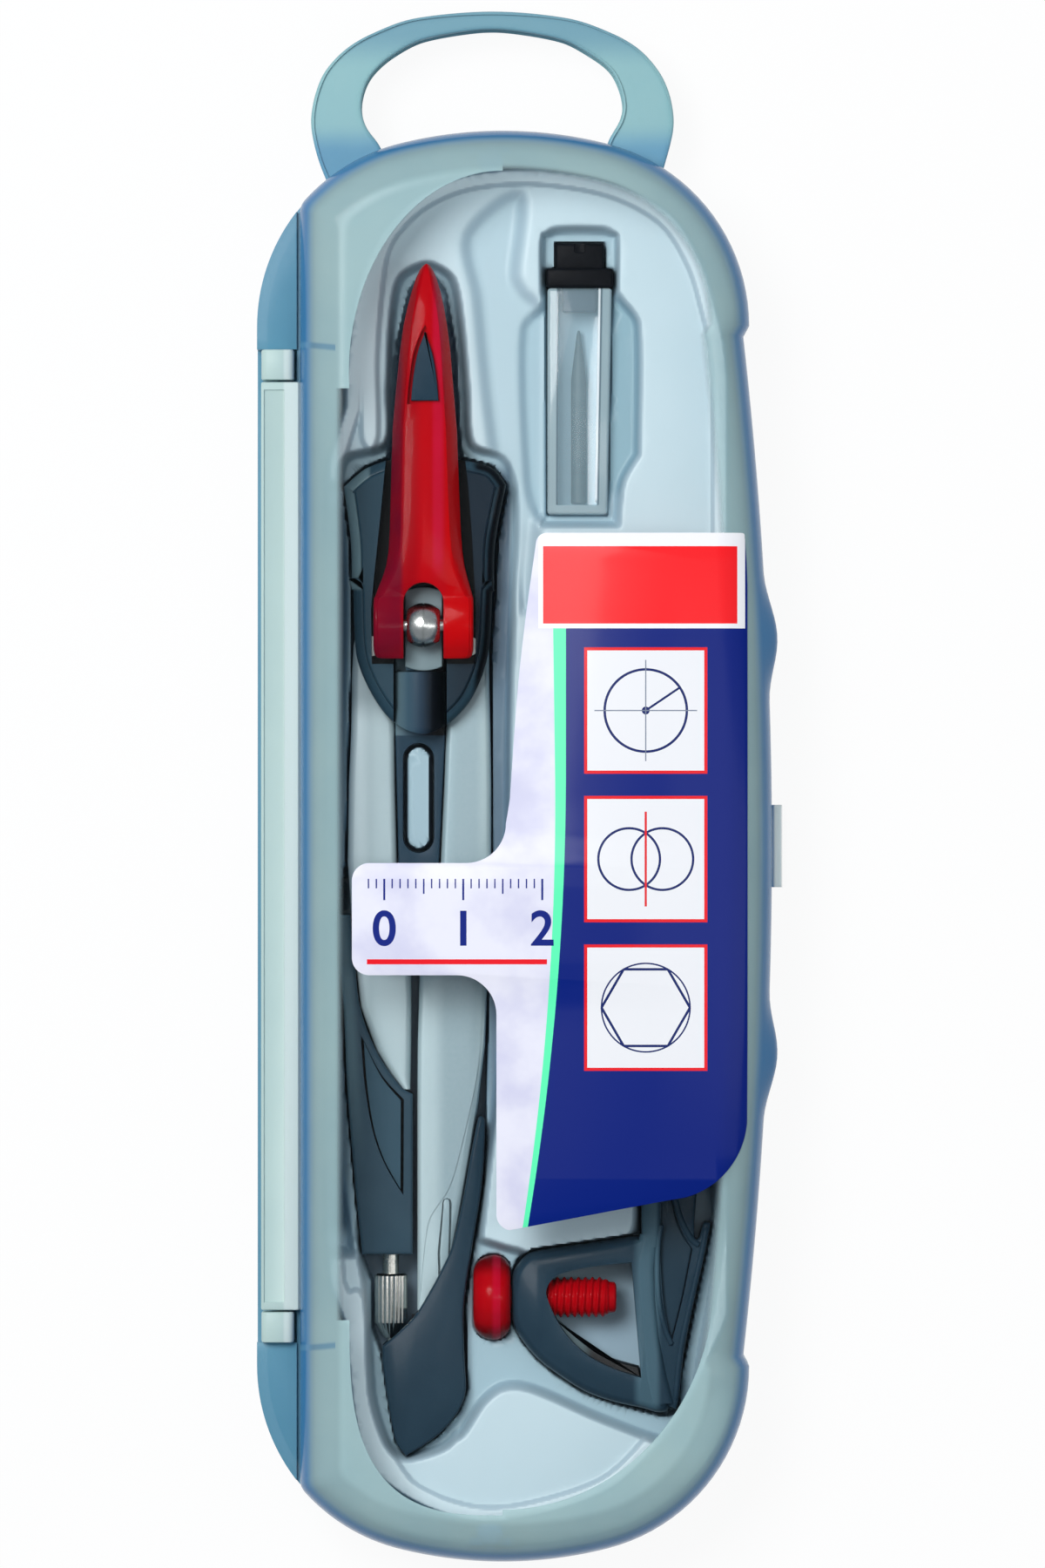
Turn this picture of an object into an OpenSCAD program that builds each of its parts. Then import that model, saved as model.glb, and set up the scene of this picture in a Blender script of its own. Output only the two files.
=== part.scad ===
// Drafting instrument case: a hinged translucent case with a compass,
// a universal adaptor and a box of leads in a thermoformed tray.
// The case lies on its back, +Z is up, +Y points to the loop handle.

/* [Case] */
// Length of the case without its handle
case_l = 182; // [176:1:200]
// Width across the end caps
case_w = 62.7; // [62:0.1:70]
// Height of the closed case
case_h = 22; // [21.5:0.1:26]
// Height of the base shell, where it meets the lid
base_h = 11; // [10.6:0.1:11.3]
// Wall thickness of both shells
shell_t = 1.2; // [0.8:0.1:1.6]
// Radius of the four corners of the case
corner_r = 23.9; // [20:0.1:26]
// Radius of the crowned ends
crown_r = 54.1; // [50:0.1:80]
// Length of one end cap, from the end of the case to the bowed stretch
end_cap_l = 26.2; // [25:0.1:26.5]
// Depth of the step between an end cap and the bowed stretch
mid_step = 0.75; // [0.4:0.05:1]
// How far the rim bows out at its middle
rim_bow = 3.65; // [2:0.05:5]
// How far a finger bump stands out of the rim
bump_h = 1.4; // [0.5:0.1:2]
// Distance of a finger bump from the middle
bump_y = 26.7; // [22:0.1:34]
// Half length of a finger bump
bump_half = 8.3; // [6:0.1:10]
// Gap between the closed lid and the base
lid_gap = 0.05; // [0.02:0.01:0.1]
// Height of the upright rim of the lid
lid_rim_h = 4; // [2:0.1:6]
// Width of the sloping border of the lid
lid_slope_w = 5.5; // [3:0.1:7]
// Width of the thumb tab
tab_w = 10.5; // [6:0.1:16]
// How far the thumb tab stands out
tab_out = 2; // [1:0.1:4]
// Thickness of the thumb tab
tab_t = 2; // [1:0.1:3]
// Thickness of the label
label_t = 0.1; // [0.05:0.05:0.3]

/* [Handle] */
// Half width of the handle loop
handle_a = 23.2; // [20:0.1:26]
// Half height of the handle loop
handle_b = 13.3; // [12:0.1:16]
// Half width of the finger opening
grip_a = 16.7; // [14:0.1:18]
// Half height of the finger opening
grip_b = 10.2; // [9:0.1:11]
// How far the middle of the loop lies beyond the end of the case
handle_out = 2.3; // [1:0.1:5]
// Thickness of the handle
handle_t = 7; // [4:0.1:8]

/* [Hinge] */
// Distance of the hinge axis from the left face of the case
hinge_in = 2.65; // [2.6:0.05:2.8]
// Height of the hinge axis above the parting face
hinge_up = 0.4; // [0.3:0.05:0.6]
// Diameter of the hinge bar
bar_d = 4.2; // [3.6:0.1:4.4]
// Distance of an end of the hinge from the end of the case
hinge_end = 27.7; // [27:0.1:36]
// Length of one hinge block
block_l = 4; // [3:0.1:8]
// Diameter of the trunnions
trunnion_d = 2.4; // [1.6:0.1:3]
// Radial clearance of every running fit
run_fit = 0.05; // [0.02:0.01:0.1]
// End clearance between the bar and a block
end_play = 0.2; // [0.1:0.05:0.5]

/* [Tray] */
// Thickness of the tray sheet
tray_t = 0.6; // [0.4:0.05:0.8]
// Height of the top of the tray
deck_z = 11.5; // [11.2:0.1:12]
// Distance of the tray from the hinge side of the case
tray_from_hinge = 11.15; // [11:0.05:11.4]
// Distance of the tray from the thumb side of the case
tray_from_thumb = 2.35; // [2.2:0.05:2.6]
// Distance of the tray from an end of the case
tray_from_end = 4.3; // [4:0.1:5]
// Radius of the corners of the tray
tray_corner_r = 20; // [16:0.1:22]
// Radius of the crowned ends of the tray
tray_crown_r = 50; // [40:0.1:80]
// Gap between an instrument and the walls of its pocket
pocket_gap = 1.1; // [0.6:0.1:1.2]
// Gap under a piece that rests in the tray
seat_gap = 0.3; // [0.1:0.05:0.4]
// Diameter of the peg that locates the tray
peg_d = 3.4; // [2:0.1:4]

/* [Compass] */
// Place of the lever axle across the case
compass_x = -10.1; // [-10.5:0.1:-9.7]
// Place of the lever axle along the case
compass_y = 28.1; // [27:0.1:29]
// Thickness of the legs
leg_t = 5.2; // [4:0.1:5.4]
// Thickness of the back shield of the head
back_t = 1.7; // [1.2:0.1:2]
// Thickness of the front shield of the head
front_t = 3.6; // [3:0.1:4]
// Gap between fixed pieces laid on one another
joint_gap = 0.05; // [0.02:0.01:0.1]
// Height of the lever axle above the legs
axle_up = 5.5; // [5.3:0.1:5.8]
// Length of the lever from its axle to its tip
lever_l = 46; // [42:0.5:48]
// Thickness of the lever
lever_t = 4.6; // [4:0.1:5]
// Half width of the lever's fork
fork_half = 6.35; // [6:0.05:6.4]
// Half width of the slot of the fork
slot_half = 2.55; // [2.3:0.05:2.8]
// Length of the fork beyond the axle
fork_out = 4.3; // [3.6:0.1:4.4]
// Diameter of the lever axle
axle_d = 1.6; // [1.2:0.1:2]
// Radius of the ball nut
ball_r = 2.85; // [2.6:0.05:3]
// Diameter of the knurled collet
collet_d = 4.2; // [3.8:0.1:4.4]
// Length of the straight part of the collet
collet_l = 6.6; // [5:0.1:7]
// Diameter of the needle shaft
shaft_d = 2.1; // [1.8:0.1:2.4]
// Diameter of the needle
needle_d = 0.9; // [0.6:0.1:1.2]
// Diameter of the leads
lead_d = 2; // [1.8:0.1:2.2]
// Diameter of the pins that the legs turn on
pivot_d = 2.5; // [2:0.1:3]

/* [Adaptor] */
// Place of the adaptor's nose across the case
adaptor_x = 1.1; // [1:0.1:1.3]
// Height of the axis of the clamp screw
screw_z = 7.7; // [7.6:0.1:8]
// Place of the clamp screw along the case
adaptor_y = -57.7; // [-58.5:0.1:-57]
// Thickness of the adaptor
adaptor_t = 7.4; // [6.5:0.1:7.6]
// Diameter of the screw's knob
knob_d = 11.1; // [9:0.1:11.2]
// Length of the screw's knob
knob_l = 4.8; // [3.5:0.1:5]
// Diameter over the screw's thread
thread_d = 5.2; // [4.4:0.1:5.6]
// Depth of the thread
thread_h = 0.35; // [0.2:0.05:0.5]
// Length of the screw beyond the adaptor's nose
screw_l = 13.4; // [11:0.1:14]
// Pitch of the thread
thread_p = 0.9; // [0.7:0.05:1.2]

/* [Lead box] */
// Place of the lead box across the case
box_x = 9.8; // [9.4:0.1:10.2]
// Place of the box's lower end along the case
box_y = 42.3; // [41.5:0.1:43]
// Outer width of the square tube
tube_w = 8.3; // [7.6:0.1:8.6]
// Width of the square hollow of the tube
tube_bore = 5.6; // [5:0.1:6.4]
// Length of the tube
tube_l = 28.9; // [27:0.1:30]
// Thickness of the cap's flange
flange_t = 2.5; // [1.5:0.1:3]
// Width of the cap's top block
cap_w = 6.3; // [5:0.1:7]
// Length of the cap's top block
cap_l = 3.3; // [2.5:0.1:3.6]
// Width of the cap's plug
plug_w = 4.4; // [3.6:0.1:4.8]
// Length of the cap's plug
plug_l = 3; // [2:0.1:3.2]

/* [Hidden] */
$fn = 48;
eps = 0.01;

half_w = case_w / 2;
mid_half = case_l / 2 - end_cap_l;
tray_w = case_w - tray_from_hinge - tray_from_thumb;
tray_l = case_l - 2 * tray_from_end;
tray_x = (tray_from_hinge - tray_from_thumb) / 2;

// Hinge
hinge_l = case_l - 2 * hinge_end;
axis_x = -half_w + hinge_in;
axis_z = base_h + hinge_up;
hinge_half = hinge_l / 2;
// Left face of the lid, clear of the hinge axis so that the lid can lie open
lid_left = axis_x + hinge_in + 0.25;
// Outer face of the base's wall beside the bar
wall_left = axis_x + bar_d / 2 + 0.3;
wall_right = wall_left + shell_t;
// Ledge under the bar, clear of the bar's square corners
ledge_z = axis_z - bar_d / 2 * sqrt(2) - 0.25;
ledge_under = ledge_z - shell_t;
ear_z = axis_z + 0.5;

// Heights in the compass, from the tray's floor up
floor_z = shell_t + tray_t;
rest_z = floor_z + seat_gap;
leg_z = rest_z + back_t + joint_gap;
leg_top = leg_z + leg_t;
front_z = leg_top + joint_gap;
front_top = front_z + front_t;
axle_z = leg_top + axle_up;
lever_z = axle_z - lever_t / 2;
channel_z = axle_z - fork_out - 0.4;
washer_top = axle_z - ball_r * 0.85;
washer_t = 0.8;
washer_r = 5.35;
washer_y = -0.45;
grip_r = 3.4;
grip_z = lever_z - 0.5 - grip_r;

// Left side of the tray's bulge, round the widest stretch of the compass
leg_out = 11.2;
bulge_x = compass_x - leg_out - pocket_gap - tray_t;

// Adaptor and lead box
adaptor_z = screw_z - adaptor_t / 2;
adaptor_floor = adaptor_z - seat_gap;
box_z = floor_z + seat_gap + tube_w / 2;

function arc(cx, cy, r, a0, a1, n) =
    [for (i = [0:n]) let (a = a0 + (a1 - a0) * i / n) [cx + r * cos(a), cy + r * sin(a)]];

function oval(cx, cy, a, b, n) =
    [for (i = [0:n - 1]) [cx + a * cos(360 * i / n), cy + b * sin(360 * i / n)]];

function flip(points) = [for (i = [len(points) - 1:-1:0]) [points[i][0], -points[i][1]]];

// A crowned end with round corners, from the right side over to the left side.
// w and l are its half width and half length, r the corners and k the crown.
function crowned(w, l, r, k) =
    let (crown_y = l - k,
        corner_y = crown_y + sqrt(pow(k - r, 2) - pow(w - r, 2)),
        turn = atan2(corner_y - crown_y, w - r))
    concat(arc(w - r, corner_y, r, 0, turn, 8),
        arc(0, crown_y, k, turn + 3, 177 - turn, 6),
        arc(r - w, corner_y, r, 180 - turn, 180, 8));

function cap_end(inset) =
    crowned(half_w - inset, case_l / 2 - inset, corner_r - inset, crown_r - inset);

function bump(y) = abs(abs(y) - bump_y) < bump_half
    ? bump_h * (1 + cos(180 * (abs(y) - bump_y) / bump_half)) / 2 : 0;

function bow_x(y) = half_w - mid_step + rim_bow * (1 - pow(y / mid_half, 2));

function bowed_side(inset, bumped) = [for (i = [-24:24]) let (y = mid_half * i / 24)
    [bow_x(y) - inset + (bumped ? bump(y) : 0), y]];

// Plan of the case: two crowned ends, a straight left side and a bowed right side
module case_plan(inset, bumped) {
    polygon(concat(bowed_side(inset, bumped), cap_end(inset), flip(cap_end(inset))));
}

// The part of the plan to the right of a line
module right_of(x, inset = 0, bumped = false) {
    intersection() {
        case_plan(inset, bumped);
        translate([x, -case_l]) square([case_w * 2, case_l * 2]);
    }
}

module slab(z, t) {
    translate([0, 0, z]) linear_extrude(t) children();
}

// ---- case ----

module handle_loop() {
    slab((base_h - handle_t) / 2, handle_t) difference() {
        polygon(oval(-1.3, case_l / 2 + handle_out, handle_a, handle_b, 64));
        polygon(oval(-1.3, case_l / 2 + handle_out + 0.9, grip_a, grip_b, 48));
        case_plan(shell_t / 2, false);
    }
}

module ledge_cut() {
    translate([-case_w, -hinge_half, ledge_z])
        cube([case_w + wall_left, hinge_l, case_h]);
}

// Room inside the base: full width below the ledge, and in the ears up to their roof
module base_room() {
    slab(shell_t, ledge_under - shell_t) case_plan(shell_t, true);
    slab(shell_t, case_h) right_of(wall_right, shell_t, true);
    for (side = [-1, 1])
        slab(shell_t, ear_z - 2 * shell_t) intersection() {
            case_plan(shell_t, false);
            translate([-case_w, side > 0 ? hinge_half + shell_t : -case_l])
                square([case_w + wall_right, case_l - hinge_half - shell_t]);
        }
}

// Upright peg that the edge of the tray is notched round, tied to the wall by a web
module tray_peg(side) {
    peg_y = side * (tray_l / 2 + 0.9);
    translate([-1.6, peg_y, 0]) cylinder(d = peg_d, h = base_h - 0.5);
    translate([-2.1, side > 0 ? peg_y : -case_l / 2 + shell_t / 2, 0])
        cube([1, case_l / 2 - shell_t / 2 - abs(peg_y), base_h - 1.5]);
}

module case_base() {
    color([0.55, 0.72, 0.82, 0.5]) {
        difference() {
            union() {
                slab(0, base_h) case_plan(0, true);
                slab(0, ear_z) difference() {
                    case_plan(0, true);
                    right_of(wall_left, 0, true);
                }
            }
            base_room();
            ledge_cut();
        }
        handle_loop();
        for (side = [-1, 1]) tray_peg(side);
    }
}

module dome(inset, z0, z1) {
    hull() {
        slab(z0, eps) right_of(lid_left + inset, inset);
        slab((z0 + z1) / 2 + 1.5, eps)
            right_of(lid_left + inset + lid_slope_w * 0.3, inset + lid_slope_w * 0.3);
        slab(z1 - eps, eps)
            right_of(lid_left + inset + lid_slope_w, inset + lid_slope_w);
    }
}

module case_lid() {
    rim_z = base_h + lid_gap;
    dome_z = rim_z + lid_rim_h;
    color([0.7, 0.85, 0.9, 0.35]) difference() {
        union() {
            slab(rim_z, lid_rim_h) right_of(lid_left, 0, true);
            dome(0, dome_z - eps, case_h);
            translate([bow_x(0) - shell_t / 2, -tab_w / 2, rim_z])
                cube([tab_out + shell_t / 2, tab_w, tab_t]);
        }
        slab(base_h - 1, lid_rim_h + 1 + lid_gap) right_of(lid_left + shell_t, shell_t, false);
        dome(shell_t, dome_z - 2 * eps, case_h - shell_t);
    }
}

// ---- hinge ----

// Section of the bar: round below, square above, with a long shallow panel on top
module bar_section(grow = 0) {
    circle(d = bar_d + 2 * grow);
    translate([-bar_d / 2 - grow, 0]) square([bar_d + 2 * grow, bar_d / 2 + grow]);
}

module along_y(y0, l) {
    translate([0, y0 + l, 0]) rotate([90, 0, 0]) linear_extrude(l) children();
}

module hinge_blocks() {
    color([0.78, 0.86, 0.84]) for (side = [-1, 1])
        difference() {
            translate([axis_x, 0, axis_z])
                along_y(side > 0 ? hinge_half - block_l : -hinge_half, block_l) {
                // Corners rounded to clear the left wall of the turning lid
                intersection() {
                    bar_section();
                    circle(r = lid_left - axis_x - 0.2);
                }
                translate([-bar_d / 2, ledge_z + joint_gap - axis_z])
                    square([bar_d, axis_z - ledge_z]);
            }
            translate([axis_x, side * hinge_half, axis_z]) rotate([90, 0, 0])
                cylinder(d = trunnion_d + 2 * run_fit, h = 3 * block_l, center = true);
        }
}

module hinge_bar() {
    bar_half = hinge_half - block_l - end_play;
    color([0.78, 0.86, 0.84]) {
        difference() {
            translate([axis_x, 0, axis_z]) along_y(-bar_half, 2 * bar_half) {
                bar_section();
                // Flange that meets the left wall of the lid
                translate([0, 0.4])
                    square([lid_left - joint_gap - axis_x, bar_d / 2 - 0.4]);
            }
            translate([axis_x - 1.75, -bar_half + 1, axis_z + bar_d / 2 - 0.3])
                cube([2.6, 2 * bar_half - 2, 1]);
        }
        translate([axis_x, 0, axis_z]) rotate([90, 0, 0])
            cylinder(d = trunnion_d, h = 2 * (hinge_half - 0.8), center = true);
    }
}

// ---- tray ----

// Outline given as [y, left, right] stations, grown sideways and at both ends
function stations(rows, grow) = concat(
    [for (i = [0:len(rows) - 1])
        [rows[i][1] - grow, rows[i][0] + (i == 0 ? grow : i == len(rows) - 1 ? -grow : 0)]],
    [for (i = [len(rows) - 1:-1:0])
        [rows[i][2] + grow, rows[i][0] + (i == 0 ? grow : i == len(rows) - 1 ? -grow : 0)]]);

// Room that the compass fills, about the lever axle, as [y, left, right]
compass_room = [[lever_l + 2, -0.6, 1.2], [lever_l - 2, -2.6, 3.2], [39, -3.4, 4.2],
    [30, -fork_half + 2.2, 5.4], [22.4, -fork_half + 2, 5.6], [21.6, -10.2, 10.9],
    [17, -10.5, 11], [4, -10, 10], [-12, -11, 9], [-30, -leg_out, 8.8], [-62, -leg_out, 8],
    [-80, -8.8, 6.8], [-84, -6.8, 6.4], [-98, -6.3, 5.6], [-104, -4.6, 3], [-106.5, -2.9, -1.2]];

module compass_pocket(grow) {
    translate([compass_x, compass_y]) polygon(stations(compass_room, pocket_gap + grow));
}

box_end = box_y + tube_l + flange_t + cap_l;

module box_pocket(grow) {
    side = tube_w / 2 + 0.4 + grow;
    translate([box_x - side, box_y - pocket_gap - grow])
        square([2 * side, box_end - box_y + 2 * pocket_gap + 0.1 + 2 * grow]);
    translate([box_x, box_y + 6 - grow])
        square([side + 2.8, 18 + 2 * grow]);
}

// Outline of the adaptor about the tip of its nose
nose = [[16.9, 8], [2.9, 5.9], [0.9, 3.4], [0, 0], [0.4, -3.2], [3.7, -7.9], [9.7, -12],
    [16.9, -14.1], [20.2, -14.9], [21.4, -14.1], [21.6, -10.6], [24.6, 6.6], [25.5, 9.6],
    [24.2, 9.8], [24.2, 15.8], [22.4, 20], [16.9, 20]];

module adaptor_pocket(grow) {
    g = pocket_gap + grow;
    translate([adaptor_x, adaptor_y]) polygon([[-0.9, -8 - g], [3.4 - g / 2, -9 - g],
        [9.7, -12 - g], [20.2, -14.9 - g], [22, -14.1 - g], [22 + g, -10.6],
        [25.6 + g / 2, 7], [25.6 + g / 2, 16], [22.6 + g, 33 + g], [16.9 - g, 33 + g],
        [16.9 - g, 8 + g], [2.9, 6.2 + g], [-0.9, 7.2 + g]]);
}

module knob_pocket(grow) {
    translate([adaptor_x - knob_l - 1 - grow, adaptor_y - knob_d / 2 - 0.7 - grow])
        square([knob_l + 1.2 + 2 * grow, knob_d + 1.4 + 2 * grow]);
}

module tray_plan(inset) {
    end = crowned(tray_w / 2 - inset, tray_l / 2 - inset, tray_corner_r - inset,
        tray_crown_r - inset);
    difference() {
        // The left side bulges out to make room for the compass
        translate([tray_x, 0]) polygon(concat(end,
            [[inset - tray_w / 2, 56 - inset], [bulge_x - tray_x + inset, 49 - inset],
                [bulge_x - tray_x + inset, inset - 56], [inset - tray_w / 2, inset - 62]],
            flip(end)));
        for (side = [-1, 1])
            translate([-1.6, side * (tray_l / 2 + 0.9)]) circle(d = peg_d + 1 + 2 * inset);
    }
}

module deep_pockets(grow) {
    compass_pocket(grow);
    box_pocket(grow);
    knob_pocket(grow);
}

module insert_tray() {
    under = shell_t + eps;
    color([0.86, 0.92, 0.95]) difference() {
        slab(under, deck_z - under) tray_plan(0);
        // Hollow under the sheet, between the pockets and inside the skirt
        difference() {
            slab(0, deck_z - tray_t) tray_plan(tray_t);
            slab(0, deck_z) deep_pockets(tray_t);
            slab(adaptor_floor - tray_t, deck_z) adaptor_pocket(tray_t);
        }
        slab(floor_z, deck_z) intersection() {
            deep_pockets(0);
            tray_plan(tray_t);
        }
        slab(adaptor_floor, deck_z) intersection() {
            adaptor_pocket(0);
            tray_plan(tray_t);
        }
    }
}

// ---- label ----

// Left edge with its arm, then the straight right side with a big lower curve
module lid_label() {
    color([0.1, 0.2, 0.5]) slab(case_h, label_t) polygon(concat(
        arc(1.2, -46.6, 2, 180, 260, 4), [[20.3, -44.9]],
        arc(20.3, -34.1, 10.7, 285, 355, 7), [[31, -25.4], [31, 38.6]],
        [[29.6, 39.7], [5.5, 39.7], [4.1, 38], [2.8, 29], [1.4, 13.4]],
        arc(-4.6, 2.9, 5, 0, -90, 6),
        arc(-16.9, -4.3, 2.2, 90, 180, 4), arc(-16.9, -14.1, 2.2, 180, 270, 4),
        arc(-5.8, -21.3, 5, 90, 0, 6)));
}

// ---- compass, modelled about the lever axle ----

module at_compass() {
    translate([compass_x, compass_y, 0]) children();
}

shield_outline = [[-4.7, 21.1], [-7.6, 19.9], [-10.2, 17.7], [-9.3, 10.6], [-9.2, 4.9], [-8.6, -3.7],
    [-6.7, -8.6], [-3.8, -12.4], [-0.2, -13.9], [2.9, -12.7], [6.1, -9.3], [8.2, -3.7],
    [8.9, 4.6], [9.1, 10.6], [10.6, 18], [8.6, 20.2], [4.6, 21.3]];
core_x = -0.45;
core_half = 3.2;
column_r = 3.35;
pivot_x = 6.2;
pivot_y = -2.6;
hub_r = 2.6;

module pivots(d, z0, z1) {
    for (side = [-1, 1])
        translate([core_x + side * pivot_x, pivot_y, z0]) cylinder(d = d, h = z1 - z0);
}

module web_plan() {
    difference() {
        polygon([[core_x - core_half, 21], [core_x - core_half, -14], [-3.2, -31], [-1.5, -43],
            [-0.9, -43], [1.9, -31], [core_x + core_half, -14], [core_x + core_half, 21]]);
        hull() for (y = [-17, -27]) translate([-0.7, y]) circle(r = 1.95, $fn = 32);
    }
}

module compass_core() {
    color([0.2, 0.28, 0.34]) at_compass() difference() {
        union() {
            slab(leg_z, leg_t) web_plan();
            // Column in front of the web, and the pad that carries the washer
            translate([core_x, -14, front_top - column_r + 0.2]) rotate([-90, 0, 0])
                cylinder(r = column_r, h = 14 + washer_y - washer_r - joint_gap);
            slab(leg_top - eps, washer_top - washer_t - joint_gap - leg_top + eps)
                translate([-slot_half + 0.2, washer_y - washer_r])
                square([2 * slot_half - 0.4, 2 * washer_r]);
            // Handle
            translate([0, 12, grip_z]) rotate([-90, 0, 0])
                cylinder(r1 = grip_r, r2 = grip_r * 0.62, h = lever_l - 18);
            translate([0, lever_l - 6, grip_z]) sphere(r = grip_r * 0.62);
        }
        translate([0, 0, leg_z - 1]) cylinder(d = axle_d + 0.9 + 2 * joint_gap, h = 20);
    }
}

module channel(grow = 0) {
    half = fork_half + 0.5 + grow;
    translate([-half, -fork_out - 0.8, channel_z]) cube([2 * half, 40, 20]);
}

module head_front_shield() {
    color([0.2, 0.28, 0.34]) at_compass() difference() {
        slab(front_z, front_t) polygon(shield_outline);
        channel();
        // Room for the column, the pad and the handle of the core
        translate([core_x - column_r - joint_gap, -16, front_z - 1])
            cube([2 * (column_r + joint_gap), 11.8, 20]);
        translate([-slot_half + 0.1, washer_y - washer_r - 0.2, front_z - 1])
            cube([2 * slot_half - 0.2, 2 * washer_r + 0.3, 20]);
        translate([-grip_r - joint_gap, 12 - joint_gap, front_z - 1])
            cube([2 * grip_r + 2 * joint_gap, 20, 20]);
        pivots(pivot_d + 2 * joint_gap, front_z - 1, front_z + 1.4);
    }
}

module head_back_shield() {
    color([0.2, 0.28, 0.34]) at_compass() difference() {
        slab(rest_z, back_t) translate([0.3, 0]) polygon(shield_outline);
        pivots(pivot_d + 2 * joint_gap, rest_z + 0.6, leg_z + 1);
        translate([0, 12 - joint_gap, grip_z]) rotate([-90, 0, 0])
            cylinder(r = grip_r + joint_gap, h = 30);
    }
}

module leg_pivots() {
    color("silver") at_compass() pivots(pivot_d, rest_z + 0.65, front_z + 1.3);
}

// Half width of the lever at a distance from its axle
lever_stations = [[lever_l, 0.15], [lever_l - 1, 0.9], [lever_l - 2.7, 1.65], [lever_l - 7.6, 2.8],
    [30.2, 3.7], [24.7, 4.15], [10, 4.6], [6.7, 5.1], [4.1, fork_half - 0.35], [3.2, fork_half],
    [-fork_out, fork_half]];
inlay_top = 37.7;
inlay_base = 28.3;
inlay_half = 2;

module inlay_plan(grow) {
    translate([0.1, 0]) polygon([[-inlay_half - grow, inlay_base - grow],
        [inlay_half + grow, inlay_base - grow], [inlay_half * 0.55 + grow, inlay_top - 4],
        [0, inlay_top + 2 * grow], [-inlay_half * 0.55 - grow, inlay_top - 4]]);
}

module lock_lever() {
    color([0.8, 0.02, 0.08]) at_compass() difference() {
        intersection() {
            slab(lever_z, lever_t) difference() {
                polygon(concat([for (s = lever_stations) [s[1], s[0]]],
                    [for (i = [len(lever_stations) - 1:-1:0])
                        [-lever_stations[i][1], lever_stations[i][0]]]));
                translate([-slot_half, -20]) square([2 * slot_half, 22.85]);
                translate([0, 2.85]) circle(r = slot_half);
            }
            // The ends of the fork are round about the axle
            union() {
                translate([-10, 0, lever_z - 1]) cube([20, lever_l + 5, lever_t + 2]);
                translate([0, 0, axle_z]) rotate([0, 90, 0])
                    cylinder(r = fork_out, h = 20, center = true);
            }
        }
        slab(lever_z + lever_t - 0.9, 5) inlay_plan(joint_gap);
        translate([0, 0, axle_z]) rotate([0, 90, 0])
            cylinder(d = axle_d + 2 * run_fit, h = 20, center = true);
    }
}

module lever_inlay() {
    color([0.2, 0.28, 0.34]) at_compass()
        slab(lever_z + lever_t - 0.9 + joint_gap, 0.7) inlay_plan(0);
}

module lever_pin() {
    color("silver") at_compass() translate([0, 0, axle_z]) rotate([0, 90, 0])
        cylinder(d = axle_d, h = 2 * (fork_half - 0.3), center = true);
}

module tension_ball() {
    stud_d = axle_d + 0.9;
    color([0.85, 0.86, 0.87]) at_compass() difference() {
        union() {
            intersection() {
                translate([0, 0, axle_z]) sphere(r = ball_r);
                translate([-slot_half + 0.45, -5, washer_top + joint_gap])
                    cube([2 * slot_half - 0.9, 10, 2 * ball_r + 2]);
            }
            translate([0, 0, leg_z]) cylinder(d = stud_d, h = axle_z - leg_z);
        }
        translate([0, 0, axle_z]) rotate([0, 90, 0])
            cylinder(d = axle_d + 2 * joint_gap, h = 20, center = true);
    }
}

module cam_washer() {
    color([0.6, 0.66, 0.7]) at_compass() slab(washer_top - washer_t, washer_t) difference() {
        intersection() {
            translate([0, washer_y]) circle(r = washer_r);
            translate([-slot_half + 0.15, -10]) square([2 * slot_half - 0.3, 20]);
        }
        circle(d = axle_d + 0.9 + 2 * joint_gap);
    }
}

needle_x = -4.25;
cladding_end = -80.3;

// The upper end of a leg is round about its pivot
function hub(side, a0, a1, grow) =
    arc(core_x + side * pivot_x, pivot_y, hub_r + grow, a0, a1, 8);

// The silver leg and the tang inside its cladding
module needle_leg_plan(grow) {
    polygon(concat([[-9.4 - grow, -15], [-9.8 - grow, -30.2],
        [-9.5 - grow, -36.9 - grow], [-8.9 - grow, -42.7], [-8.2 - grow, -48.7],
        [-6.1 - grow, -54.2 - grow],
        [needle_x - 1.3 - grow, -58 - grow], [needle_x - 1.3 - grow, cladding_end + 6 - grow],
        [needle_x + 1.3 + grow, cladding_end + 6 - grow], [needle_x + 1.3 + grow, -59.2 - grow],
        [-1.9 + grow, -59.7 - grow],
        [-1.6 + grow, -44.4], [-3.4 + grow, -31], [-3.75 + grow, -14]],
        hub(-1, 0, 180, grow)));
}

module needle_leg() {
    color([0.66, 0.72, 0.74]) at_compass() difference() {
        slab(leg_z, leg_t) needle_leg_plan(0);
        pivots(pivot_d + 2 * joint_gap, leg_z - 1, leg_top + 1);
    }
}

module needle_bore(d, y0, y1) {
    translate([needle_x, y0, leg_z + leg_t / 2]) rotate([90, 0, 0])
        cylinder(d = d, h = y0 - y1);
}

module needle_leg_cladding() {
    color([0.2, 0.28, 0.34]) at_compass() difference() {
        slab(leg_z - 0.6, leg_t + 1.2) polygon([[-11, -36.9], [-10.8, -42.7], [-10.2, -49.9],
            [-9.8, -59], [-8.8, -71.4], [-7.9, cladding_end], [-1.8, cladding_end],
            [-1.75, -59.8], [-2.9, -58.9], [-6, -54.4], [-8.1, -48.9], [-8.8, -43], [-9.3, -36.9]]);
        slab(leg_z - joint_gap, leg_t + 2 * joint_gap) needle_leg_plan(joint_gap);
        needle_bore(shaft_d + 2 * joint_gap, cladding_end + 7, cladding_end - 1);
        // Long panel recessed in the face
        slab(leg_top + 0.3, 1) polygon([[-8, -52.5], [-2.6, -60.4], [-2.7, -72.5], [-6.4, -65],
            [-7.6, -58.5]]);
    }
}

collet_y = cladding_end - 2.5;

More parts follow.
